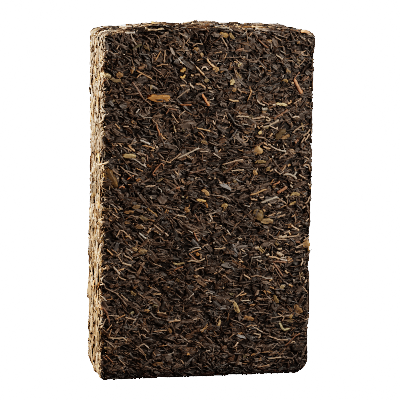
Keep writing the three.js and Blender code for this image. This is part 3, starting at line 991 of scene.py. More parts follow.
# The pieces that stand out in the photograph: route in its pixels, width in mm and tone.
shownPieces = {
    "tan_stalks": {
        "upperLeftStub": ([(138.8, 109), (135.8, 113)], 1.5, 1.0),
        "upperLeftBent": ([(138.8, 114), (143.9, 117.6), (148.5, 117.6), (151.5, 117.5)], 1.1, 0.7),
        "upperLeftLevel": ([(123, 126.5), (128.6, 126.5)], 1.3, 0.85),
        "upperLeftFork": ([(160.2, 132.3), (162.2, 137), (165.3, 139)], 1.2, 0.95),
        "upperLeftGold": ([(139.8, 140), (149.5, 144.1)], 1.9, 1.05),
        "upperLeftGrey": ([(123.5, 147.1), (130.6, 150.7)], 1.1, 0.8),
        "upperLeftOrange": ([(128.1, 145.6), (134.2, 151.2)], 1.7, 0.9),
        "upperLeftShort": ([(118.9, 143.6), (121.4, 146.6)], 1.1, 0.8),
        "upperLeftThread": ([(131.6, 158.4), (135.7, 159.9), (140.8, 164), (146, 167)], 1.2, 0.9),
        "upperLeftCurve": ([(171.4, 114.5), (173.5, 116.5), (176.5, 121.1), (178.6, 122.7)], 1.1, 0.85),
        "upperLeftStrip": ([(162.2, 105.3), (171.4, 106.3)], 1.2, 0.75),
        "upperLeftCorner": ([(100.2, 122.7), (103, 120.6), (104, 115.5)], 1.2, 0.9),
        "lowerFork": ([(187.9, 230.1), (192.4, 233.2)], 1.0, 0.8),
        "lowerForkTwig": ([(192.4, 231.6), (197, 229.6)], 1.0, 0.7),
        "lowerBent": ([(201.9, 247.4), (204.5, 245), (207.8, 244.4)], 1.1, 0.9),
        "lowerLeafRim": ([(187.9, 251.5), (192.4, 248.5), (198.6, 247), (200.6, 248.5)], 1.1, 0.75),
        "lowerLeafVein": ([(190.4, 252.8), (195.5, 250.5), (200.6, 249)], 1.2, 0.75),
        "lowerUpright": ([(200.6, 253.6), (200.4, 258.7)], 1.4, 0.75),
        "lowerRising": ([(194, 270.9), (199.1, 268.4), (203.7, 267.3)], 1.4, 0.8),
        "lowerPair": ([(213.9, 274), (217, 272.4)], 1.2, 0.8),
        "lowerPairTwig": ([(218, 272.4), (222.5, 268.4)], 1.1, 0.8),
        "lowerOrange": ([(243.5, 274.5), (250, 278.6)], 1.5, 0.95),
        "lowerSteep": ([(226.6, 229.6), (230.2, 234.7)], 1.2, 0.9),
        "lowerHook": ([(237.9, 258.2), (241.4, 260.7), (239.4, 262.2)], 1.1, 0.8),
        "lowerHookTwig": ([(241.4, 257.1), (247, 254.6)], 1.0, 0.7),
        "lowerArch": ([(204.2, 294.9), (207.8, 292.3), (212.3, 293.9)], 1.1, 0.8),
        "lowerSecondArch": ([(202.7, 291.8), (207.2, 289.8)], 1.0, 0.7),
        "lowerThread": ([(194.5, 289.8), (198.6, 286.7)], 1.0, 0.8),
        "lowerSlanting": ([(187.9, 299), (193.5, 293.4)], 1.1, 0.8),
        "lowerCluster": ([(235.3, 297.4), (240.4, 293.4), (243, 291.3)], 1.3, 0.85),
        "lowerSecondCluster": ([(239.4, 295.9), (246, 293.4)], 1.2, 0.85),
        "topLeftHook": ([(130.6, 33.3), (132, 38.5), (136.2, 44.5)], 1.2, 0.75),
        "topLeftStub": ([(118.9, 45), (116.3, 49)], 1.2, 0.8),
        "topLeftBeige": ([(160.2, 51.6), (155.1, 60.3)], 1.2, 0.8),
        "topLeftUpright": ([(164.8, 50.1), (163.8, 62.3)], 1.5, 0.7),
        "topLeftCurve": ([(156, 66.4), (162, 64.5), (167.9, 64.4)], 1.3, 0.7),
        "topLeftCream": ([(136.2, 70.5), (151.5, 78.7)], 1.2, 0.75),
        "topPinkish": ([(221.5, 37.4), (226.6, 46.1)], 1.2, 0.9),
        "topArch": ([(192.4, 46.6), (196.5, 43.5), (202.7, 44)], 1.2, 0.7),
        "topStrip": ([(178.2, 32.3), (182.8, 35.3), (186.8, 36.9)], 1.1, 0.8),
        "topLevel": ([(213.9, 53.2), (221.5, 51.7)], 1.1, 0.7),
        "topLeaning": ([(189.4, 37.9), (185.3, 43.5)], 1.1, 0.7),
        "topRightStrip": ([(274.4, 36.8), (281, 40.4)], 1.1, 0.8),
        "topRightLeg": ([(271.5, 43), (270.8, 48.6)], 1.0, 0.6),
        "topRightTan": ([(280, 50.6), (285.1, 53.7)], 1.2, 0.6),
        "rightEdgeStub": ([(303, 55.2), (308, 55.2)], 1.0, 0.9),
        "rightEdgeThread": ([(304.5, 59.3), (302, 62.5), (298.4, 65.9)], 0.9, 0.7),
        "rightHook": ([(258.6, 66.4), (261.6, 65.9), (265.7, 70.5)], 1.1, 0.9),
        "rightShort": ([(260.6, 72.6), (259, 75.6)], 1.0, 0.8),
        "upperLevel": ([(251.4, 118.9), (260, 117.9)], 1.2, 0.9),
        "upperCurl": ([(243.3, 136.2), (247.9, 137.8), (247.3, 140.8), (242.2, 142.9)], 1.1, 0.8),
        "upperFalling": ([(212.7, 153), (220.3, 158.2)], 1.2, 0.9),
        "upperRising": ([(221.8, 164.8), (233.6, 161.2), (242.8, 159.7)], 1.2, 0.85),
        "upperBeige": ([(241.2, 124), (247.9, 124.5)], 1.3, 0.8),
        "upperShort": ([(199.4, 151.5), (208, 151.5)], 1.1, 0.8),
        "centreChip": ([(219, 182), (221, 183.5)], 1.8, 0.9),
        "centreSecondChip": ([(227.5, 182.9), (229.8, 182.9)], 1.5, 0.8),
        "centreCorner": ([(150, 210.7), (154, 213), (157.1, 216.8)], 1.1, 0.8),
        "centreSteep": ([(208.7, 213.8), (212.2, 219.4)], 1.2, 1.0),
        "leftLong": ([(125.2, 170.3), (137.8, 175.3)], 1.2, 0.7),
        "leftCrossing": ([(119.9, 166.1), (131.3, 176.5)], 1.1, 0.6),
        "leftShort": ([(136.3, 168.4), (142.4, 171.1)], 1.2, 0.8),
        "leftStrip": ([(127.5, 184.5), (132.1, 185.6)], 1.2, 0.9),
        "leftUpright": ([(109, 205.1), (109.5, 208.7)], 1.1, 0.7),
        "leftLowerFold": ([(115.9, 237.4), (119.7, 230.4)], 1.3, 0.85),
        "leftLowerFoldLong": ([(119.7, 230.4), (123.5, 231), (131.2, 239.3)], 1.3, 0.85),
        "leftLowerBright": ([(138.8, 232.9), (145.9, 238.7)], 1.7, 1.05),
        "leftLowerGold": ([(150.5, 228), (147.5, 233)], 1.9, 0.95),
        "leftLowerCreamy": ([(140.3, 224.6), (144.6, 228.6)], 1.4, 1.0),
        "leftLowerDull": ([(125.5, 248), (133, 252.5)], 1.5, 0.75),
        "leftLowerPale": ([(106.5, 249), (112.5, 255)], 1.4, 0.8),
        "centreCream": ([(145.2, 186.3), (154.8, 185.7)], 1.4, 0.95),
        "centreBeige": ([(154, 225), (162, 231.5)], 1.4, 0.8),
        "centreShort": ([(165, 233), (168, 236)], 1.5, 0.95),
        "leftSteep": ([(114.1, 207.7), (116.9, 212.8)], 1.1, 0.8),
        "leftFalling": ([(112, 213.5), (118.2, 217.9)], 1.2, 0.8),
        "leftOverEdge": ([(103.4, 218.4), (98.3, 223)], 1.2, 0.7),
        "leftUpperSteep": ([(101.9, 104.3), (104.9, 112.4)], 1.2, 0.8),
        "leftUpperBeige": ([(114.6, 123.7), (119.7, 128.8)], 1.2, 0.9),
        "leftUpperStub": ([(109, 112.7), (107, 114.7)], 1.0, 0.8),
        "leftLowerOrange": ([(112.9, 266.5), (119.6, 274.5)], 1.8, 0.9),
        "footOrange": ([(105.1, 318.9), (101.5, 327.5)], 1.4, 0.85),
        "footLeaning": ([(111.7, 324.5), (106.6, 330.6)], 1.1, 0.8),
        "footSteep": ([(111.2, 329), (108.7, 335.7)], 1.1, 0.7),
        "footLoop": ([(105, 340.3), (110.2, 343.9), (114.8, 348.5), (115.8, 345.4)], 1.1, 0.7),
        "footRising": ([(114.8, 319.4), (125, 314.8)], 1.2, 0.8),
        "footBeige": ([(124.5, 317.3), (135.7, 319.9)], 1.3, 0.85),
        "footLight": ([(168.4, 322.4), (174, 321), (180, 320.4)], 1.3, 0.9),
        "footLevel": ([(153, 331.6), (166.3, 330.1)], 1.2, 0.7),
        "footRoof": ([(134.7, 350), (139, 346.5), (143.4, 343.4), (149, 348.5)], 1.2, 0.8),
        "footFalling": ([(118.4, 358.7), (125, 365.3)], 1.1, 0.7),
        "footShort": ([(166.8, 355.1), (173.5, 352.6)], 1.1, 0.8),
        "footRightBeige": ([(246.3, 327), (251.4, 325), (256.5, 325.5)], 1.2, 0.8),
        "footRightHook": ([(277.4, 313.3), (284, 317.3), (281.5, 320.9)], 1.3, 0.7),
        "footRightLong": ([(267.2, 335.7), (279, 339.8), (287.7, 339.8)], 1.2, 0.8),
        "footRightLow": ([(257, 367.4), (268.8, 364.8)], 1.2, 0.75),
        "footRightEdge": ([(304, 320.4), (307.6, 317.9)], 1.1, 0.8),
        "leftLowerStrip": ([(118.4, 276.2), (121, 278.5), (125.3, 279.8)], 1.4, 0.7),
        "topFork": ([(176.5, 98.5), (185, 91.5), (189.5, 89)], 1.6, 0.6),
        "topForkTwig": ([(193.5, 88), (191, 85.5), (189.5, 83.5)], 1.6, 1.0),
        "topOrange": ([(177.7, 58), (182.7, 64)], 1.7, 0.95),
        "topCentreLong": ([(206.5, 58.9), (210, 64), (214, 67)], 1.9, 1.1),
        "topCentreSecond": ([(195.8, 66.5), (200.5, 71.5), (203.5, 75)], 1.8, 1.0),
        "topCentreThin": ([(204, 75.5), (208.5, 80.5)], 1.3, 0.55),
        "topCentreArch": ([(201, 69), (203.5, 67), (206, 67.5), (207.5, 70)], 1.4, 1.1),
        "topCentreStub": ([(180, 61.8), (182.8, 64)], 1.5, 1.0),
        "topCentreGrey": ([(180, 85.5), (185, 85.5)], 1.6, 0.9),
        "topCentreLevel": ([(194.5, 74.5), (199.5, 74.8)], 1.8, 0.7),
        "topCentreCurve": ([(195.5, 84), (201, 84.5), (205, 88)], 1.9, 0.75),
        "topCentreLow": ([(209, 91), (213, 92.5)], 1.5, 0.8),
        "topRightSteep": ([(224, 58.5), (226.5, 53.5)], 1.4, 0.7),
        "topRightThin": ([(235.5, 59.5), (242, 64.5)], 1.2, 0.7),
        "topRightPinkish": ([(237.5, 88.5), (241, 92.5)], 1.6, 0.75),
        "rightCream": ([(272.3, 105), (275, 104.7)], 2.0, 1.0),
        "rightPink": ([(256.5, 100), (260, 103.5), (264.5, 105.3)], 1.6, 0.9),
        "rightFork": ([(287.5, 104), (291, 102), (290, 100)], 1.5, 0.85),
        "rightLevel": ([(251.5, 118.7), (258, 118), (262.5, 116.5), (264.5, 117.5)], 1.7, 0.85),
        "rightCrook": ([(292, 117.8), (295.5, 116.3), (299, 117.5)], 1.8, 1.0),
        "rightShortUpright": ([(254.8, 124.5), (255, 127.5)], 1.7, 0.95),
        "rightShortSteep": ([(257.3, 126.2), (259, 128.5)], 1.5, 0.85),
        "rightShortRising": ([(260, 127), (262.5, 125.3)], 1.5, 0.85),
        "rightSmall": ([(269.8, 136.5), (272, 133.3)], 1.7, 0.95),
        "rightLong": ([(292, 133), (296, 129.5), (301, 126), (304, 126.5)], 1.7, 0.75),
        "rightEdgeLong": ([(303, 136), (307, 133), (309.8, 129.5)], 1.6, 0.85),
        "rightEdgeSecond": ([(304.5, 141), (307, 137.5), (309.3, 134)], 1.6, 0.85),
        "rightThin": ([(301, 142.8), (303, 139.5), (304.5, 137)], 1.4, 0.85),
        "rightStrand": ([(270.5, 146), (275, 148.5), (280, 150.5)], 1.5, 0.9),
        "rightShallow": ([(262.8, 146.2), (266, 148), (270, 148.5)], 1.5, 0.9),
        "rightSecondShallow": ([(263.5, 143), (266.5, 145)], 1.5, 0.8),
        "rightRising": ([(279, 158.5), (282.5, 155.5), (287, 153)], 1.7, 0.75),
        "rightEdgeCurve": ([(303.5, 157), (306, 157.3), (308.5, 159.5)], 1.4, 0.8),
        "middleRightV": ([(274, 169.3), (277.5, 172.3), (280, 174.2)], 1.6, 0.9),
        "middleRightVTwig": ([(280.5, 173.5), (283.5, 171.5)], 1.5, 0.9),
        "middleRightSteep": ([(281.8, 170.5), (284, 168), (285.5, 165.5)], 1.3, 0.8),
        "middleRightBit": ([(287.5, 166), (290, 164.5)], 2.0, 0.9),
        "middleRightPink": ([(270, 171.5), (272.5, 169.5)], 1.5, 0.9),
        "middleRightArch": ([(302.5, 166.5), (306, 164.2), (308.5, 165.5), (309.5, 169), (310.5, 172)],
                            1.5, 0.8),
        "middleRightFalling": ([(298.5, 174.5), (302, 176.5), (305, 178.5)], 1.5, 0.75),
        "middleRightSmall": ([(259.5, 198), (263.8, 196.8)], 1.8, 0.9),
        "middleRightSecondSmall": ([(250.5, 199), (257, 200)], 1.6, 0.8),
        "middleRightEdge": ([(302, 208.5), (306.5, 205.5)], 1.6, 0.85),
        "middleRightSecondEdge": ([(305, 204), (308, 200.5), (309.3, 196.5)], 1.5, 0.75),
        "middleRightHook": ([(268, 216), (271.5, 214.8), (275, 213)], 1.6, 0.8),
        "middleRightRising": ([(277, 217.5), (281, 216), (285, 214.8)], 1.9, 0.7),
        "middleRightYellow": ([(291.5, 217), (295, 214.5)], 1.5, 0.8),
        "middleRightStub": ([(305.5, 221), (309, 218.3)], 1.6, 0.9),
        "lowRightGold": ([(291, 225.5), (298.5, 230.3)], 1.8, 1.1),
        "lowRightRoof": ([(283.5, 233.8), (287.5, 231.8), (289.5, 230.5)], 1.6, 0.85),
        "lowRightRoofLeg": ([(288.5, 232), (290.3, 235)], 1.5, 0.9),
        "lowRightJoint": ([(286.5, 237), (290.5, 236.5), (296, 236), (299, 233.5)], 1.7, 0.85),
        "lowRightCurve": ([(273, 238), (278, 239.3), (286, 239.5)], 1.7, 0.65),
        "lowRightEdgeRising": ([(295.5, 248), (300, 245), (302.5, 244)], 1.6, 0.95),
        "lowRightEdgeThread": ([(303, 240.5), (307, 238), (309.3, 235.5)], 1.4, 0.85),
        "lowRightLevel": ([(268.5, 256.5), (276, 257.5), (279, 259)], 1.8, 0.95),
        "lowRightOrange": ([(279.5, 259), (286.7, 260.8)], 1.6, 1.05),
        "lowRightRising": ([(287.5, 261), (291.5, 258.3)], 1.6, 0.75),
        "lowRightCrescent": ([(301.5, 258.5), (302.5, 261), (300.5, 265.5)], 1.6, 1.0),
        "lowRightWave": ([(295, 251), (296, 252.5), (300, 251.3)], 1.3, 0.8),
        "lowRightSmall": ([(293.5, 281.5), (293.7, 279)], 1.6, 0.95),
        "lowRightEdgeSmall": ([(304.5, 282.5), (306.5, 280)], 1.6, 1.0),
        "lowRightEdgeTop": ([(305, 275), (307.5, 272.5)], 1.5, 0.85),
        "lowRightLong": ([(261, 276.5), (266, 278.5), (272, 278.5)], 1.7, 0.75),
        "lowRightShort": ([(288.5, 284.5), (292, 286.5)], 1.7, 0.9),
        "lowRightPink": ([(256.2, 259.5), (260.5, 262)], 1.4, 0.7),
        "lowRightLast": ([(269.5, 287), (273.5, 288.5)], 1.5, 0.8),
        "leftLowerRising": ([(116, 256.5), (120.5, 253)], 1.4, 0.8),
        "leftLowerThin": ([(118, 256.5), (121.5, 262)], 1.2, 0.8),
        "leftLowerBroad": ([(123.5, 255), (131, 259)], 1.6, 0.8),
        "leftLowerBeige": ([(120.5, 294.5), (127.5, 300.5)], 1.3, 0.75),
        "leftLowerTip": ([(101.8, 296.2), (106.2, 301)], 1.3, 0.9),
        "topRimTan": ([(117, 33), (122, 32.5)], 1.2, 0.8),
        "topRimGold": ([(125.5, 33.2), (130, 32.8), (135, 32.5)], 1.6, 1.1),
        "topRightStripStem": ([(241.7, 35.8), (246, 32), (250.5, 29)], 1.3, 0.75),
        "backRim": ([(214, 22.6), (222, 22.8), (230, 23.3)], 1.3, 0.8),
    },
    "red_stalks": {
        "upperLeftForked": ([(156.1, 124.7), (157.6, 129.5), (159.2, 133.4), (159.2, 136)], 1.9, 0.8),
        "upperLeftCrossing": ([(168.9, 108.4), (167.5, 111.5), (165.8, 114)], 1.1, 0.7),
        "upperLeftLevel": ([(168.9, 108.4), (176.5, 109.9)], 1.3, 0.7),
        "lowerOrangeStick": ([(194, 232.7), (196, 237.5), (197.5, 240.3)], 1.2, 0.85),
        "lowerReddish": ([(188.9, 253.6), (195.5, 259.7)], 1.5, 0.75),
        "lowerPink": ([(204.2, 280.1), (211.8, 281.6)], 1.4, 0.85),
        "lowerBroad": ([(173.6, 270.9), (177.1, 268.4), (182.8, 266.8)], 1.3, 0.55),
        "orangeStick": ([(293.8, 79.2), (297.3, 86.5), (300.9, 93.5)], 3.3, 0.98),
        "orangeFork": ([(293.8, 79), (299.4, 72)], 1.2, 0.8),
        "topLeftSteep": ([(152, 66.4), (161.2, 73.6)], 1.3, 0.5),
        "topLeftLong": ([(132, 82), (136.5, 88), (141, 96)], 2.0, 0.65),
        "topRightStrip": ([(258, 39.4), (262.5, 44), (267.8, 48)], 1.1, 0.5),
        "rightEdgeBit": ([(303, 80.7), (308.6, 76.6)], 1.5, 0.7),
        "upperLevel": ([(180, 104.6), (185.5, 105), (191.2, 104.6)], 1.4, 0.7),
        "upperOrange": ([(201.8, 94.2), (204.8, 99), (207, 103), (208.8, 105.5)], 2.4, 1.15),
        "centreHook": ([(155.6, 175), (151.5, 174.5), (156, 168.5), (162, 162.3), (163.3, 166)], 1.3, 0.75),
        "centreLevel": ([(188.8, 173.5), (197, 171.5), (205, 168.9)], 1.5, 0.5),
        "centreChip": ([(176, 188.2), (179.3, 187.6)], 2.0, 0.95),
        "centreSteep": ([(194.4, 213.8), (199, 221.4)], 1.6, 0.55),
        "leftCrescent": ([(119.1, 187.6), (121.8, 186.4), (124.4, 187.4)], 1.5, 0.9),
        "leftDark": ([(111, 215.8), (108.2, 219.4)], 1.2, 0.35),
        "lowerRightSteep": ([(272.5, 262.5), (277.5, 268.5), (282.5, 276)], 1.5, 0.7),
        "footCurve": ([(100, 304.6), (106.6, 312.2), (109.2, 323)], 1.7, 0.5),
        "footShort": ([(102.9, 356.8), (106.4, 359.8)], 1.2, 0.6),
        "footFalling": ([(105.9, 355.5), (112.6, 362.1)], 1.2, 0.6),
        "footRightRising": ([(284, 346.4), (290, 341), (295.3, 335.7), (299.9, 333.2)], 1.5, 0.45),
        "lowerMiddleBit": ([(225, 276), (231, 282)], 1.6, 0.6),
        "topLeftStub": ([(138, 68), (142, 67.3), (146.5, 66.2)], 2.2, 0.7),
        "rightSteep": ([(262, 101), (268.7, 105)], 1.6, 0.6),
        "rightRising": ([(273.5, 118.5), (279.5, 115), (287.8, 110)], 2.1, 0.6),
        "rightPink": ([(295, 143), (296.5, 141), (298, 139.5)], 2.6, 0.8),
        "rightThin": ([(303, 149), (305, 145.5)], 1.4, 0.5),
        "middleRightThick": ([(277.5, 193), (282, 190), (286.5, 187.5)], 3.2, 0.8),
        "lowRightBrown": ([(273, 261.5), (280, 261.5), (286, 262.5)], 2.0, 0.6),
        "lowRightPink": ([(296, 242.5), (299.5, 242)], 2.4, 0.6),
        "leftLowerShort": ([(98.5, 303), (102.8, 309)], 1.4, 0.7),
    },
    "pale_bits": {
        "upperLeftChip": ([(150.5, 150.7), (153.6, 150.2)], 1.5, 0.2),
        "upperLeftSpeck": ([(174.8, 129.3), (175.2, 132)], 1.6, 0.35),
        "upperLeftWhite": ([(176, 107.5), (178, 107.3)], 1.1, 0.8),
        "sideUpright": ([(102.5, 35.3), (102.3, 42)], 1.3, 0.7),
        "sideBent": ([(100.2, 40.4), (98.9, 44), (100.4, 48.8)], 1.3, 0.7),
        "sideRim": ([(103.5, 29), (109.3, 28.7)], 1.2, 0.7),
        "sideArch": ([(101, 33.8), (106.3, 31.2), (110.1, 31)], 1.1, 0.4),
        "lowerTip": ([(197.8, 240.3), (200, 239.3)], 1.2, 0.7),
        "lowerSpeck": ([(213, 242.9), (214.3, 242.9)], 1.2, 0.9),
        "lowerLevel": ([(213.9, 248.5), (221, 248.5), (225.1, 247.4)], 1.2, 0.3),
        "lowerLong": ([(186.8, 261.7), (191.9, 260.5), (196.5, 261.5), (201.6, 260.2), (204.7, 258.2)],
                      1.3, 0.35),
        "lowerRising": ([(195.5, 277), (198.6, 275.5)], 1.3, 0.5),
        "lowerShort": ([(237.9, 238.8), (241.9, 238.8)], 1.3, 0.35),
        "lowerStick": ([(240.4, 249), (244.5, 251.5)], 1.3, 0.5),
        "lowerBend": ([(239, 261.7), (243, 261.7)], 1.3, 0.5),
        "lowerSecondSpeck": ([(222.6, 287.8), (224, 287.8)], 1.2, 0.9),
        "lowerCream": ([(229.7, 300.5), (233.8, 301.5)], 1.3, 0.3),
        "topLeftRim": ([(148.5, 30.2), (156, 30.2), (163.3, 29.2)], 1.0, 0.6),
        "topLeftSpeck": ([(116, 32), (121, 31)], 0.9, 0.5),
        "topLeftSecondSpeck": ([(126, 27.5), (131, 27)], 0.9, 0.5),
        "topSecondRim": ([(235.8, 26.7), (243.5, 27.2), (248, 24.6)], 1.0, 0.6),
        "topRightStripTip": ([(250.5, 29), (254.5, 27.3)], 1.3, 0.5),
        "backRimFirst": ([(230, 23.6), (235, 25.2), (240, 26.4), (245.5, 26.2)], 1.3, 0.5),
        "backRimSecond": ([(247, 23.6), (253, 23.8), (258.7, 24.1)], 1.2, 0.3),
        "backRimThird": ([(259.5, 24.3), (266, 24.3), (272.8, 25)], 1.2, 0.2),
        "backRimFourth": ([(273.6, 24.4), (282, 25), (291, 26.4)], 1.5, 0.45),
        "backRimFifth": ([(291, 27.5), (296, 29.8), (301.8, 32.4)], 1.6, 0.2),
        "backRimSixth": ([(301.8, 31.8), (306, 33.2), (310.5, 35)], 1.2, 0.5),
        "frontRim": ([(215.5, 27.2), (222, 28), (229, 28.9)], 1.2, 0.3),
        "backRimLeft": ([(192, 23.5), (196, 24.5), (199, 23.5)], 1.2, 0.4),
        "backRimNext": ([(203, 22.6), (208, 23.6)], 1.2, 0.4),
        "topRightStick": ([(275.9, 54.7), (282.6, 59.3)], 1.3, 0.55),
        "rightPink": ([(291.3, 83), (293.5, 83)], 1.6, 0.4),
        "rightPatch": ([(243, 57.2), (245, 57.2)], 1.6, 0.5),
        "rightSecondPatch": ([(239, 65), (240.5, 65)], 1.4, 0.5),
        "upperLeaf": ([(228.5, 99.5), (233, 101), (238.2, 101)], 1.6, 0.5),
        "upperStick": ([(235.6, 116.3), (242, 116.2), (248.4, 116.8)], 1.3, 0.6),
        "middleRightLong": ([(260.5, 203), (268.5, 200), (277, 197)], 2.1, 0.4),
        "upperSecondStick": ([(196.3, 128), (202.4, 129.1), (210.1, 131.1)], 1.2, 0.45),
        "upperSpeck": ([(232.3, 135.2), (233.8, 135.2)], 1.2, 0.5),
        "upperSecondSpeck": ([(237, 134.2), (238.4, 134.2)], 1.2, 0.5),
        "forkedStalk": ([(176.5, 158.7), (185.6, 154.6), (192, 151.5), (198.9, 148)], 1.5, 0.5),
        "forkedStalkTwig": ([(185.6, 154.8), (189, 157.7)], 1.0, 0.4),
        "centrePinkish": ([(231, 170.9), (237, 170.2), (243.8, 169.9)], 1.3, 0.4),
        "centreBit": ([(195, 179), (196.8, 177)], 1.4, 0.7),
        "centreSecondBit": ([(208.4, 178.3), (210, 178.3)], 1.3, 0.8),
        "centreThirdBit": ([(214, 178.3), (215.6, 178.3)], 1.3, 0.9),
        "centreLowBit": ([(205.3, 211.7), (206.8, 211.7)], 1.2, 0.7),
        "centreSecondLowBit": ([(222, 211.5), (223.4, 211.5)], 1.2, 0.7),
        "centreHook": ([(157.7, 187.8), (161, 190), (161.2, 192.3)], 1.1, 0.4),
        "centreStick": ([(176, 215.3), (181, 216), (185.7, 216.8)], 1.3, 0.35),
        "edgeHook": ([(95.7, 162.3), (98.4, 164.6), (103, 164.6), (108.4, 161.5)], 1.5, 0.6),
        "edgeHookTwig": ([(103.4, 165), (103.8, 170)], 1.1, 0.5),
        "leftOval": ([(116.5, 178.4), (118.7, 178.4)], 1.7, 0.25),
        "lowerLeftBit": ([(153, 294), (161, 294)], 1.3, 0.5),
        "footHook": ([(108.2, 337.8), (116, 338.4), (123, 337.8), (126.5, 340.8)], 1.4, 0.35),
        "footSpeck": ([(116.4, 322.2), (117.8, 322.2)], 1.2, 0.9),
        "footStrip": ([(156.6, 312.2), (161, 313), (165.8, 313.3)], 1.3, 0.4),
        "footSecondSpeck": ([(174.6, 319.4), (176.6, 319.4)], 1.2, 0.7),
        "footRightStick": ([(240.7, 300.5), (248.9, 300.5)], 1.3, 0.45),
        "footRightBit": ([(248.6, 329.1), (250, 329.1)], 1.1, 0.8),
        "footRightSecondBit": ([(257.2, 329.6), (258.7, 329.6)], 1.1, 0.8),
        "footRightHook": ([(253, 333.2), (260.6, 335.2), (258, 338.3)], 1.3, 0.4),
        "footRightRoof": ([(290.7, 342.9), (292.8, 341.4), (294.8, 341.8)], 1.3, 0.4),
        "footRightLow": ([(267.8, 358.7), (274, 358), (281, 357.1)], 1.4, 0.35),
        "leftLowerBit": ([(149.5, 197.3), (151.5, 197.5)], 1.6, 0.5),
        "leftLowerSecondBit": ([(158.8, 234), (160.4, 234.3)], 1.6, 0.5),
        "leftLowerCream": ([(121.6, 263), (130.8, 265.7)], 1.9, 0.45),
        "rightCreamBlock": ([(261.5, 108.8), (264, 109.3), (267, 109.2)], 3.0, 0.25),
        "rightKnot": ([(265.5, 117.3), (268.5, 118), (269.8, 119.2)], 1.7, 0.4),
        "rightKnotLow": ([(265.5, 119.8), (268, 121), (270, 118.8)], 1.6, 0.35),
        "rightCreamStick": ([(262, 127.5), (268, 126), (273.5, 123), (278.5, 120.2)], 1.8, 0.25),
        "rightSpeck": ([(272.6, 144.3), (274, 144.3)], 1.5, 0.2),
        "rightSecondSpeck": ([(284.4, 144.2), (286, 144.2)], 1.6, 0.4),
        "rightBit": ([(268, 144), (270, 145.5)], 1.8, 0.5),
        "rightStrandTip": ([(279.5, 150.3), (285.5, 151.5)], 1.7, 0.45),
        "rightWhite": ([(271.8, 156.7), (273.2, 156.7)], 1.7, 0.8),
        "middleRightFork": ([(283, 175.3), (287, 174), (291, 175), (294.5, 177), (296, 179)], 2.2, 0.3),
        "middleRightForkTwig": ([(293.2, 175.7), (296.5, 172)], 2.2, 0.25),
        "middleRightEdgeBit": ([(307.5, 183.5), (309.5, 185.5)], 1.8, 0.5),
        "middleRightSpeck": ([(290, 185), (292.5, 187.5)], 1.7, 0.3),
        "middleRightSecondSpeck": ([(290.5, 181.8), (292, 183.5)], 1.4, 0.2),
        "middleRightStrand": ([(250, 195), (256, 193.5), (262, 190.5), (266, 189.5)], 1.7, 0.15),
        "middleRightYellowBit": ([(268, 203.5), (270.5, 206)], 2.0, 0.2),
        "middleRightLowBit": ([(263, 209.5), (264.5, 211.5)], 1.8, 0.3),
        "middleRightLowStick": ([(276.5, 214), (280.5, 212.2)], 1.6, 0.3),
        "middleRightGreen": ([(285.5, 197.5), (288.5, 195)], 1.8, 0.1),
        "lowRightFlake": ([(278, 236.7), (282, 237.2), (286.5, 236.2)], 3.2, 0.4),
        "lowRightBit": ([(288, 227.8), (289.5, 227)], 1.7, 0.1),
        "lowRightSecondBit": ([(298.5, 226.5), (300.3, 225.2)], 1.7, 0.3),
        "lowRightThirdBit": ([(277.5, 249.5), (281.5, 248.5)], 1.9, 0.4),
        "lowRightGoldFlake": ([(276.5, 252.7), (279, 254.5), (281.5, 255.3)], 3.2, 0.3),
        "lowRightCream": ([(254.5, 248), (258.8, 247.5)], 2.4, 0.3),
        "lowRightWhite": ([(265.8, 255.4), (268.8, 253.7)], 1.9, 0.9),
        "lowRightThin": ([(280.5, 257.8), (286, 257.2)], 1.4, 0.3),
        "lowRightOrangeBit": ([(284.5, 270.8), (287.8, 273)], 2.2, 0.15),
        "lowRightEdgeWhite": ([(303, 277.7), (304.6, 277.7)], 1.9, 0.8),
        "lowRightRising": ([(269, 281), (272, 279.3)], 1.5, 0.4),
        "lowRightPinkBit": ([(260, 260.5), (261.4, 260.5)], 1.6, 0.3),
        "topCentreOval": ([(207.5, 88.2), (211, 88.2)], 2.0, 0.3),
        "topCentreBit": ([(196.8, 60.8), (199, 59.3)], 1.6, 0.4),
        "topCentreSpeck": ([(190, 54.5), (191.4, 54.5)], 1.6, 0.2),
        "topCentreSecondBit": ([(190.8, 75), (193, 75.8)], 1.8, 0.4),
        "topRimCream": ([(110.5, 27.6), (113.5, 26.3), (117, 25.9)], 1.1, 0.6),
        "topRimSecondCream": ([(116, 30), (118.5, 27.8), (121, 28.8), (122, 28)], 1.1, 0.5),
        "topRimWhite": ([(119, 25.8), (121.5, 27.5), (124, 28.3), (127.5, 28.3)], 1.3, 0.9),
        "topRimSecondWhite": ([(133.8, 27.4), (137.2, 26.6)], 1.6, 0.9),
        "topRimRising": ([(130.6, 27.5), (133, 24.5), (136, 22.8)], 1.1, 0.6),
        "topRimSpeck": ([(138.4, 25.3), (139.8, 25.3)], 1.2, 0.8),
    },
    "olive_leaves": {
        "lowerYellow": ([(172.6, 262.8), (176.6, 264.3), (180.7, 263.3), (185.3, 262.8)], 1.4, 0.9),
        "topLeftArch": ([(131.6, 50), (137, 46), (142.7, 44.5)], 2.0, 0.25),
        "topLeftSecondArch": ([(143, 45), (148, 49), (149.5, 52)], 1.8, 0.3),
        "topFolded": ([(219.5, 33), (228, 37)], 3.2, 0.7),
        "topSecondFolded": ([(229.5, 33), (234, 39.5)], 2.2, 0.6),
        "rightRing": ([(281.5, 81), (285, 79.5), (288, 83)], 2.0, 0.55),
        "rightYellow": ([(230.5, 83), (233.8, 80)], 1.8, 0.9),
        "upperYellow": ([(201, 141.5), (207, 143)], 2.4, 0.6),
        "centreBit": ([(181.8, 197), (183.6, 197)], 1.6, 1.0),
        "centreSecondBit": ([(186, 197.4), (187.6, 197.4)], 1.4, 0.9),
        "centreYellow": ([(196.5, 199), (201, 200.5), (206.6, 201.5)], 1.9, 1.1),
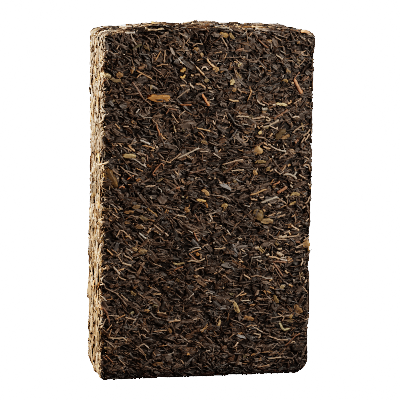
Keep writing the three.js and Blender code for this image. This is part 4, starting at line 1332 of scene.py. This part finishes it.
        "centreCurl": ([(221, 206), (225, 204.5), (227.5, 207)], 2.6, 0.75),
        "middleRightUpper": ([(259.8, 209.8), (258, 215), (255.8, 220.5)], 8.5, 0.36),
        "middleRightPatch": ([(265.5, 170), (270, 168)], 3.0, 0.5),
        "leftBroad": ([(106, 169), (111, 179), (115.5, 190)], 7.4, 0.17),
        "edgeCream": ([(98.8, 154.5), (100, 158.5), (101, 162.5)], 4.4, 1.25),
        "leftLowerOlive": ([(147, 208), (154, 213.5), (158, 216.4)], 1.4, 0.7),
        "leftYellow": ([(118.6, 209), (121, 209)], 1.6, 0.9),
        "leftUpperYellow": ([(122.5, 155.8), (130, 156), (137, 157)], 3.4, 0.85),
        "footYellow": ([(144.4, 355.1), (146, 355.1)], 1.5, 0.8),
        "footRightYellow": ([(233, 301.5), (236, 307), (238.5, 314.5)], 3.2, 0.85),
        "footRightBent": ([(279.5, 321.9), (283, 330.6), (291.2, 328)], 1.7, 1.0),
        "footRightSmall": ([(291.7, 314.8), (289.7, 318.9)], 2.0, 0.7),
        "lowerRight": ([(274, 295), (278, 304)], 2.6, 0.5),
        "rightGreenStick": ([(275.5, 103), (279.5, 104), (284, 104.3), (287.5, 106.3)], 2.0, 1.25),
        "rightSeed": ([(258.6, 134), (261.4, 131)], 2.6, 1.15),
        "rightBroad": ([(275, 138), (282, 133.5), (287, 132)], 6.0, 0.15),
        "rightLow": ([(254.5, 162.5), (260, 161.2), (267, 162.3)], 2.4, 0.5),
        "topYellowCross": ([(230, 84.3), (232.5, 83), (234.8, 82)], 1.9, 1.2),
        "topYellowCrossTwig": ([(230, 80.5), (232.5, 81.5), (235, 82)], 1.9, 1.1),
        "topYellowCrossTip": ([(232.5, 79), (233, 81.5), (233.5, 84)], 1.7, 1.2),
        "topRightYellow": ([(237.5, 65.5), (242, 64)], 2.4, 0.95),
        "topCentreYellow": ([(180, 70.7), (186, 69)], 2.8, 0.85),
        "topCentreStem": ([(180, 76.5), (183, 77.5), (185.5, 74.5)], 1.7, 1.1),
        "middleRightLeaf": ([(290.5, 195), (295, 193), (300, 196)], 2.4, 0.8),
        "middleRightThin": ([(289, 204.5), (293, 203), (296, 201)], 1.6, 0.8),
        "leftLowerBit": ([(130, 291), (136, 296)], 2.2, 0.4),
    },
    "tan_leaves": {
        "lowerOrange": ([(196, 253), (199, 255.5)], 2.2, 0.7),
        "topLeftReddish": ([(138.3, 68), (146.4, 66.4)], 2.2, 0.5),
        "topLeftLevel": ([(147.5, 97.2), (153, 97.7), (160.5, 99), (172.5, 98)], 5.4, 0.7),
        "topLeftGold": ([(101.5, 74), (106, 76), (111, 79)], 5.0, 0.75),
        "topLeftGoldTip": ([(110, 78.5), (116, 81), (122, 80)], 2.4, 0.6),
        "topLeftSecondGold": ([(117.5, 72.5), (122, 77.5)], 4.2, 0.55),
        "middleRightLower": ([(260.5, 221), (267, 221), (274, 221.8)], 4.0, 0.7),
        "topOrange": ([(193.5, 48.5), (198, 50.5)], 3.4, 0.75),
        "topRight": ([(266, 41), (272, 41.5)], 2.6, 0.6),
        "topRightPatch": ([(297.2, 42.4), (299.8, 42.4)], 1.8, 0.8),
        "rightSmall": ([(285.6, 69), (290.2, 73.6)], 2.4, 0.55),
        "upperOrange": ([(254.5, 147), (257.5, 151), (259.5, 155)], 7.5, 0.72),
        "centreTorn": ([(201.5, 189.8), (206, 191.5), (208.2, 196.9)], 2.6, 0.9),
        "centreCorner": ([(186, 207), (188, 213)], 3.2, 0.6),
        "leftSmall": ([(136, 180), (140.5, 180)], 2.4, 0.55),
        "leftLowerChip": ([(139.5, 216), (148, 221)], 3.2, 0.5),
        "leftLowerSecondChip": ([(135, 226), (144, 228)], 2.6, 0.35),
        "leftLowerThirdPatch": ([(138.2, 251), (147.8, 252)], 3.2, 0.7),
        "leftLowerBeigePatch": ([(131.9, 248), (137.5, 250.5)], 2.5, 0.8),
        "edgeGold": ([(98.5, 202), (100.5, 208)], 4.0, 0.75),
        "leftBrown": ([(132, 207), (141, 206.5)], 3.0, 0.4),
        "leftSecondBrown": ([(123.5, 212), (134.5, 212)], 2.4, 0.45),
        "footOrange": ([(144, 310.4), (149.5, 311.2)], 2.2, 0.8),
        "footBrown": ([(169, 328), (171, 333.5)], 2.0, 0.5),
        "footBroad": ([(152.6, 364), (163.8, 364)], 3.0, 0.3),
        "footRightTan": ([(243.5, 317), (254.5, 319.5)], 3.4, 0.55),
        "footRightBroad": ([(294.5, 305), (298, 309.5), (302, 314)], 4.5, 0.35),
        "footRightBit": ([(250.9, 355.1), (255.5, 354.1)], 1.6, 0.7),
        "rightPatch": ([(281, 138), (286, 137), (290, 134.7)], 2.8, 0.55),
        "middleRightUpright": ([(253.5, 170), (256.5, 175.5)], 2.8, 0.7),
        "lowRightEdge": ([(304, 241.5), (306.5, 244.5), (308, 248)], 5.5, 0.7),
        "lowRightGolden": ([(280, 286), (284, 288)], 3.4, 0.75),
        "topCentrePatch": ([(213.5, 67), (216, 69.5), (218.5, 71.5)], 3.6, 0.8),
        "topCentreSecondPatch": ([(204, 80), (209, 81)], 2.8, 0.6),
        "topRightPink": ([(232, 88.5), (236, 91)], 2.8, 0.7),
        "leftLowerPatch": ([(139.5, 250.5), (144, 253.5)], 3.0, 0.6),
    },
    "fine_shreds": {
        "topLeftGrey": ([(138.8, 53.7), (148.5, 54.7)], 1.2, 0.9),
        "topLeftUpright": ([(152, 53), (152, 62.9)], 1.0, 0.8),
        "topRightGrey": ([(272.3, 32.8), (280, 35.8), (287.1, 37.9)], 1.3, 0.9),
        "upperFalling": ([(231, 107.7), (240.2, 114.8)], 1.0, 0.9),
        "upperBent": ([(208, 141.8), (216.7, 145.4), (222.3, 143.4)], 1.3, 0.85),
        "centreLight": ([(210.7, 194.9), (221.4, 196), (230, 200)], 1.4, 1.05),
        "centreLong": ([(150, 206.1), (160.2, 205), (170.4, 208.7), (179.6, 209.7)], 1.5, 0.8),
        "leftCurve": ([(111.4, 169.2), (116, 173.4), (120.6, 175.3)], 1.2, 1.0),
        "footCurve": ([(149.5, 312.2), (155.1, 317.9), (160.7, 318.9)], 1.3, 0.9),
        "footRightLevel": ([(251.9, 312.2), (260, 312.6), (268.8, 313.3)], 1.1, 0.9),
        "footRightFalling": ([(230, 318.9), (237, 321.5), (244.8, 325.5)], 1.2, 0.8),
        "footRightShort": ([(265.2, 326), (273.9, 326)], 1.2, 0.9),
        "footRightLow": ([(262.7, 370.9), (274.9, 369.4)], 1.2, 0.8),
        "topLeftTail": ([(141, 96), (146, 101), (151.5, 105.5)], 1.3, 0.8),
        "topRightGreyStrand": ([(237.5, 98.5), (244, 96.5)], 1.6, 0.9),
        "topCentreGreyStrand": ([(181, 78.5), (184.5, 81), (186.5, 83.5)], 1.4, 1.0),
        "topCentreBluish": ([(216.5, 85), (219, 88)], 1.4, 1.2),
        "rightArchLeft": ([(283, 113.5), (286, 111.8), (288.5, 112.3), (291.5, 117.5)], 1.8, 0.8),
        "lowRightStrand": ([(272.8, 226.5), (277, 228.5), (283, 230)], 1.7, 0.95),
        "lowRightSecondStrand": ([(275, 269), (278, 274), (281, 278.5)], 1.4, 0.85),
        "lowRightThirdStrand": ([(287.8, 263), (293, 260.5)], 1.3, 0.9),
        "lowRightLevel": ([(250.5, 277), (256, 275.5), (261, 276.5)], 1.6, 0.9),
        "lowRightFalling": ([(283, 281), (288, 284.5)], 1.7, 0.85),
        "lowRightBend": ([(268, 234), (271, 235), (273.5, 238)], 1.5, 0.9),
        "middleRightStick": ([(277.5, 201.5), (282.5, 198)], 1.4, 1.0),
        "leftLowerStrand": ([(105.5, 288.5), (115.6, 293), (120.5, 298), (127, 306.5)], 1.5, 0.9),
        "leftLowerGrey": ([(125, 251.3), (132.5, 258)], 1.4, 0.85),
        "leftLowerSecondGrey": ([(137.5, 293), (144, 298)], 1.4, 0.8),
    },
}
broadKinds = ("olive_leaves", "tan_leaves")

# Of each kind: length, width and thickness as a middle in mm and a spread; the lowest and highest lift in mm;
# the pitch as a slope; roll, twist, bow and the spread of headings in degrees; wave and wander in mm; patchy,
# how much higher it lies in mm where broad leaf is on top; the share kept on the front, among the pieces that
# follow the photograph; and the two shape values of its tints' beta distribution.
kinds = {
    "leaf_flakes": {"finish": "flatLeaf", "slot": "dark_leaf", "count": 2050,
                    "masters": [pressedLeafMaster(0.3, 0.1), pressedLeafMaster(-0.25, 0.18),
                                pressedLeafMaster(0.4, 0.05)],
                    "length": (7.4, 0.35), "width": (3.2, 0.3), "thick": (1.2, 0.25), "lift": (-0.85, -0.05),
                    "pitch": 0.05, "roll": 8, "twist": 14, "bow": 14, "wave": 0.16, "wander": 0.1,
                    "patchy": 0.28, "front": 1, "spread": 34, "tint": (1.6, 2.4)},
    "leaf_strips": {"finish": "brownLeaf", "slot": "brown_leaf", "count": 2450,
                    "masters": [leafStripMaster(0.35, 0.2), leafStripMaster(-0.3, 0.35),
                                leafStripMaster(0.25, -0.3)],
                    "length": (6.4, 0.35), "width": (1.7, 0.3), "thick": (0.9, 0.25), "lift": (-0.75, 0.2),
                    "pitch": 0.06, "roll": 16, "twist": 40, "bow": 30, "wave": 0.12, "wander": 0.15,
                    "patchy": 0.1, "front": 1, "spread": 34, "tint": (1.4, 2.6)},
    "rolled_leaf": {"finish": "darkLeaf", "slot": "dark_leaf", "count": 6600,
                    "masters": [rolledLeafMaster(bend) for bend in (0.25, -0.3, 0.05)],
                    "length": (6.2, 0.4), "width": (1.15, 0.3), "thick": (0.85, 0.25), "lift": (-0.65, 0.25),
                    "pitch": 0.05, "roll": 30, "twist": 60, "bow": 34, "wave": 0.10, "wander": 0.2,
                    "patchy": -0.16, "front": 1, "spread": 34, "tint": (1.6, 2.3)},
    "fine_shreds": {"finish": "brownLeaf", "slot": "brown_leaf", "count": 6900,
                    "masters": [fineShredMaster(0.5, 0), fineShredMaster(-0.5, 0.8),
                                fineShredMaster(0.3, -1.6)],
                    "length": (4.6, 0.4), "width": (0.62, 0.3), "thick": (0.55, 0.25), "lift": (-0.4, 0.4),
                    "pitch": 0.07, "roll": 40, "twist": 50, "bow": 45, "wave": 0.08, "wander": 0.15,
                    "patchy": -0.16, "front": 1, "spread": 38, "tint": (1.5, 2.0)},
    "tan_stalks": {"finish": "tanStalk", "slot": "tea_stalk", "count": 1000,
                   "masters": [stalkMaster(0.3), stalkMaster(-0.5), forkedStalkMaster()],
                   "length": (4.8, 0.45), "width": (0.72, 0.25), "thick": (0.65, 0.2), "lift": (-0.3, 0.5),
                   "pitch": 0.04, "roll": 20, "twist": 20, "bow": 14, "wave": 0.04, "wander": 0.08,
                   "patchy": -0.1, "front": 0.36, "spread": 50, "tint": (1.4, 2.2)},
    "hooked_stalks": {"finish": "tanStalk", "slot": "tea_stalk", "count": 420,
                      "masters": [hookedStalkMaster(math.radians(angle)) for angle in (150, -115, 80)],
                      "length": (3.8, 0.3), "width": (0.7, 0.2), "thick": (0.6, 0.2), "lift": (-0.3, 0.45),
                      "pitch": 0.04, "roll": 10, "twist": 0, "bow": 12, "wave": 0.04, "wander": 0.06,
                      "patchy": -0.1, "front": 0.45, "spread": 70, "tint": (1.4, 2.4)},
    "red_stalks": {"finish": "redStalk", "slot": "tea_stalk", "count": 110,
                   "masters": [stalkMaster(0.2), stalkMaster(-0.3)],
                   "length": (5.0, 0.3), "width": (0.95, 0.25), "thick": (0.75, 0.2), "lift": (-0.1, 0.5),
                   "pitch": 0.04, "roll": 20, "twist": 20, "bow": 12, "wave": 0.04, "wander": 0.08,
                   "patchy": 0, "front": 0.3, "spread": 50, "tint": (1.4, 2.2)},
    "olive_leaves": {"finish": "oliveLeaf", "slot": "brown_leaf", "count": 230,
                     "masters": [pressedLeafMaster(0.5, 0.25), pressedLeafMaster(-0.4, 0.3)],
                     "length": (3.8, 0.35), "width": (1.9, 0.35), "thick": (1.1, 0.2), "lift": (-0.2, 0.4),
                     "pitch": 0.06, "roll": 14, "twist": 40, "bow": 20, "wave": 0.14, "wander": 0.1,
                     "patchy": 0.1, "front": 0.35, "spread": 60, "tint": (1.3, 2.2)},
    "tan_leaves": {"finish": "tanLeaf", "slot": "brown_leaf", "count": 260,
                   "masters": [pressedLeafMaster(0.5, 0.2), pressedLeafMaster(-0.4, 0.3)],
                   "length": (3.6, 0.35), "width": (1.7, 0.35), "thick": (1.1, 0.2), "lift": (-0.25, 0.35),
                   "pitch": 0.06, "roll": 14, "twist": 40, "bow": 20, "wave": 0.14, "wander": 0.1,
                   "patchy": 0.1, "front": 0.35, "spread": 60, "tint": (1.3, 2.2)},
    "tea_crumbs": {"finish": "brownLeaf", "slot": "dark_leaf", "count": 1900,
                   "masters": [crumbMaster(0.7), crumbMaster(0.4)],
                   "length": (1.3, 0.35), "width": (0.85, 0.3), "thick": (0.8, 0.2), "lift": (-0.4, 0.35),
                   "pitch": 0.1, "roll": 60, "twist": 0, "bow": 0, "wave": 0, "wander": 0,
                   "patchy": -0.1, "front": 1, "spread": 90, "tint": (1.5, 1.8)},
    "pale_bits": {"finish": "paleBit", "slot": "tea_stalk", "count": 480,
                  "masters": [crumbMaster(0.7), crumbMaster(0.4)],
                  "length": (1.4, 0.4), "width": (0.7, 0.3), "thick": (0.6, 0.2), "lift": (-0.05, 0.45),
                  "pitch": 0.1, "roll": 60, "twist": 0, "bow": 0, "wave": 0, "wander": 0,
                  "patchy": 0, "front": 0.35, "spread": 50, "tint": (1.3, 1.8)},
}
shownMasters = {  # each with the share of a listed width that it takes
    "stalk": (stalkMaster(0.1, (-0.38, -0.25, -0.12, 0.0, 0.12, 0.25, 0.38)), 0.66),
    "leaf": (pressedLeafMaster(0.35, 0.12, 0.3, 0.8), 0.92),
}


pressedCoreAndShade = makeCore()
print("core", len(pressedCoreAndShade.data.polygons), "faces")
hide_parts("tea_brick")
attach(pressedCoreAndShade, "root")
for name, values in kinds.items():
    piece = layPieces(name, values)
    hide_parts("tea_brick")
    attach(piece, "root")
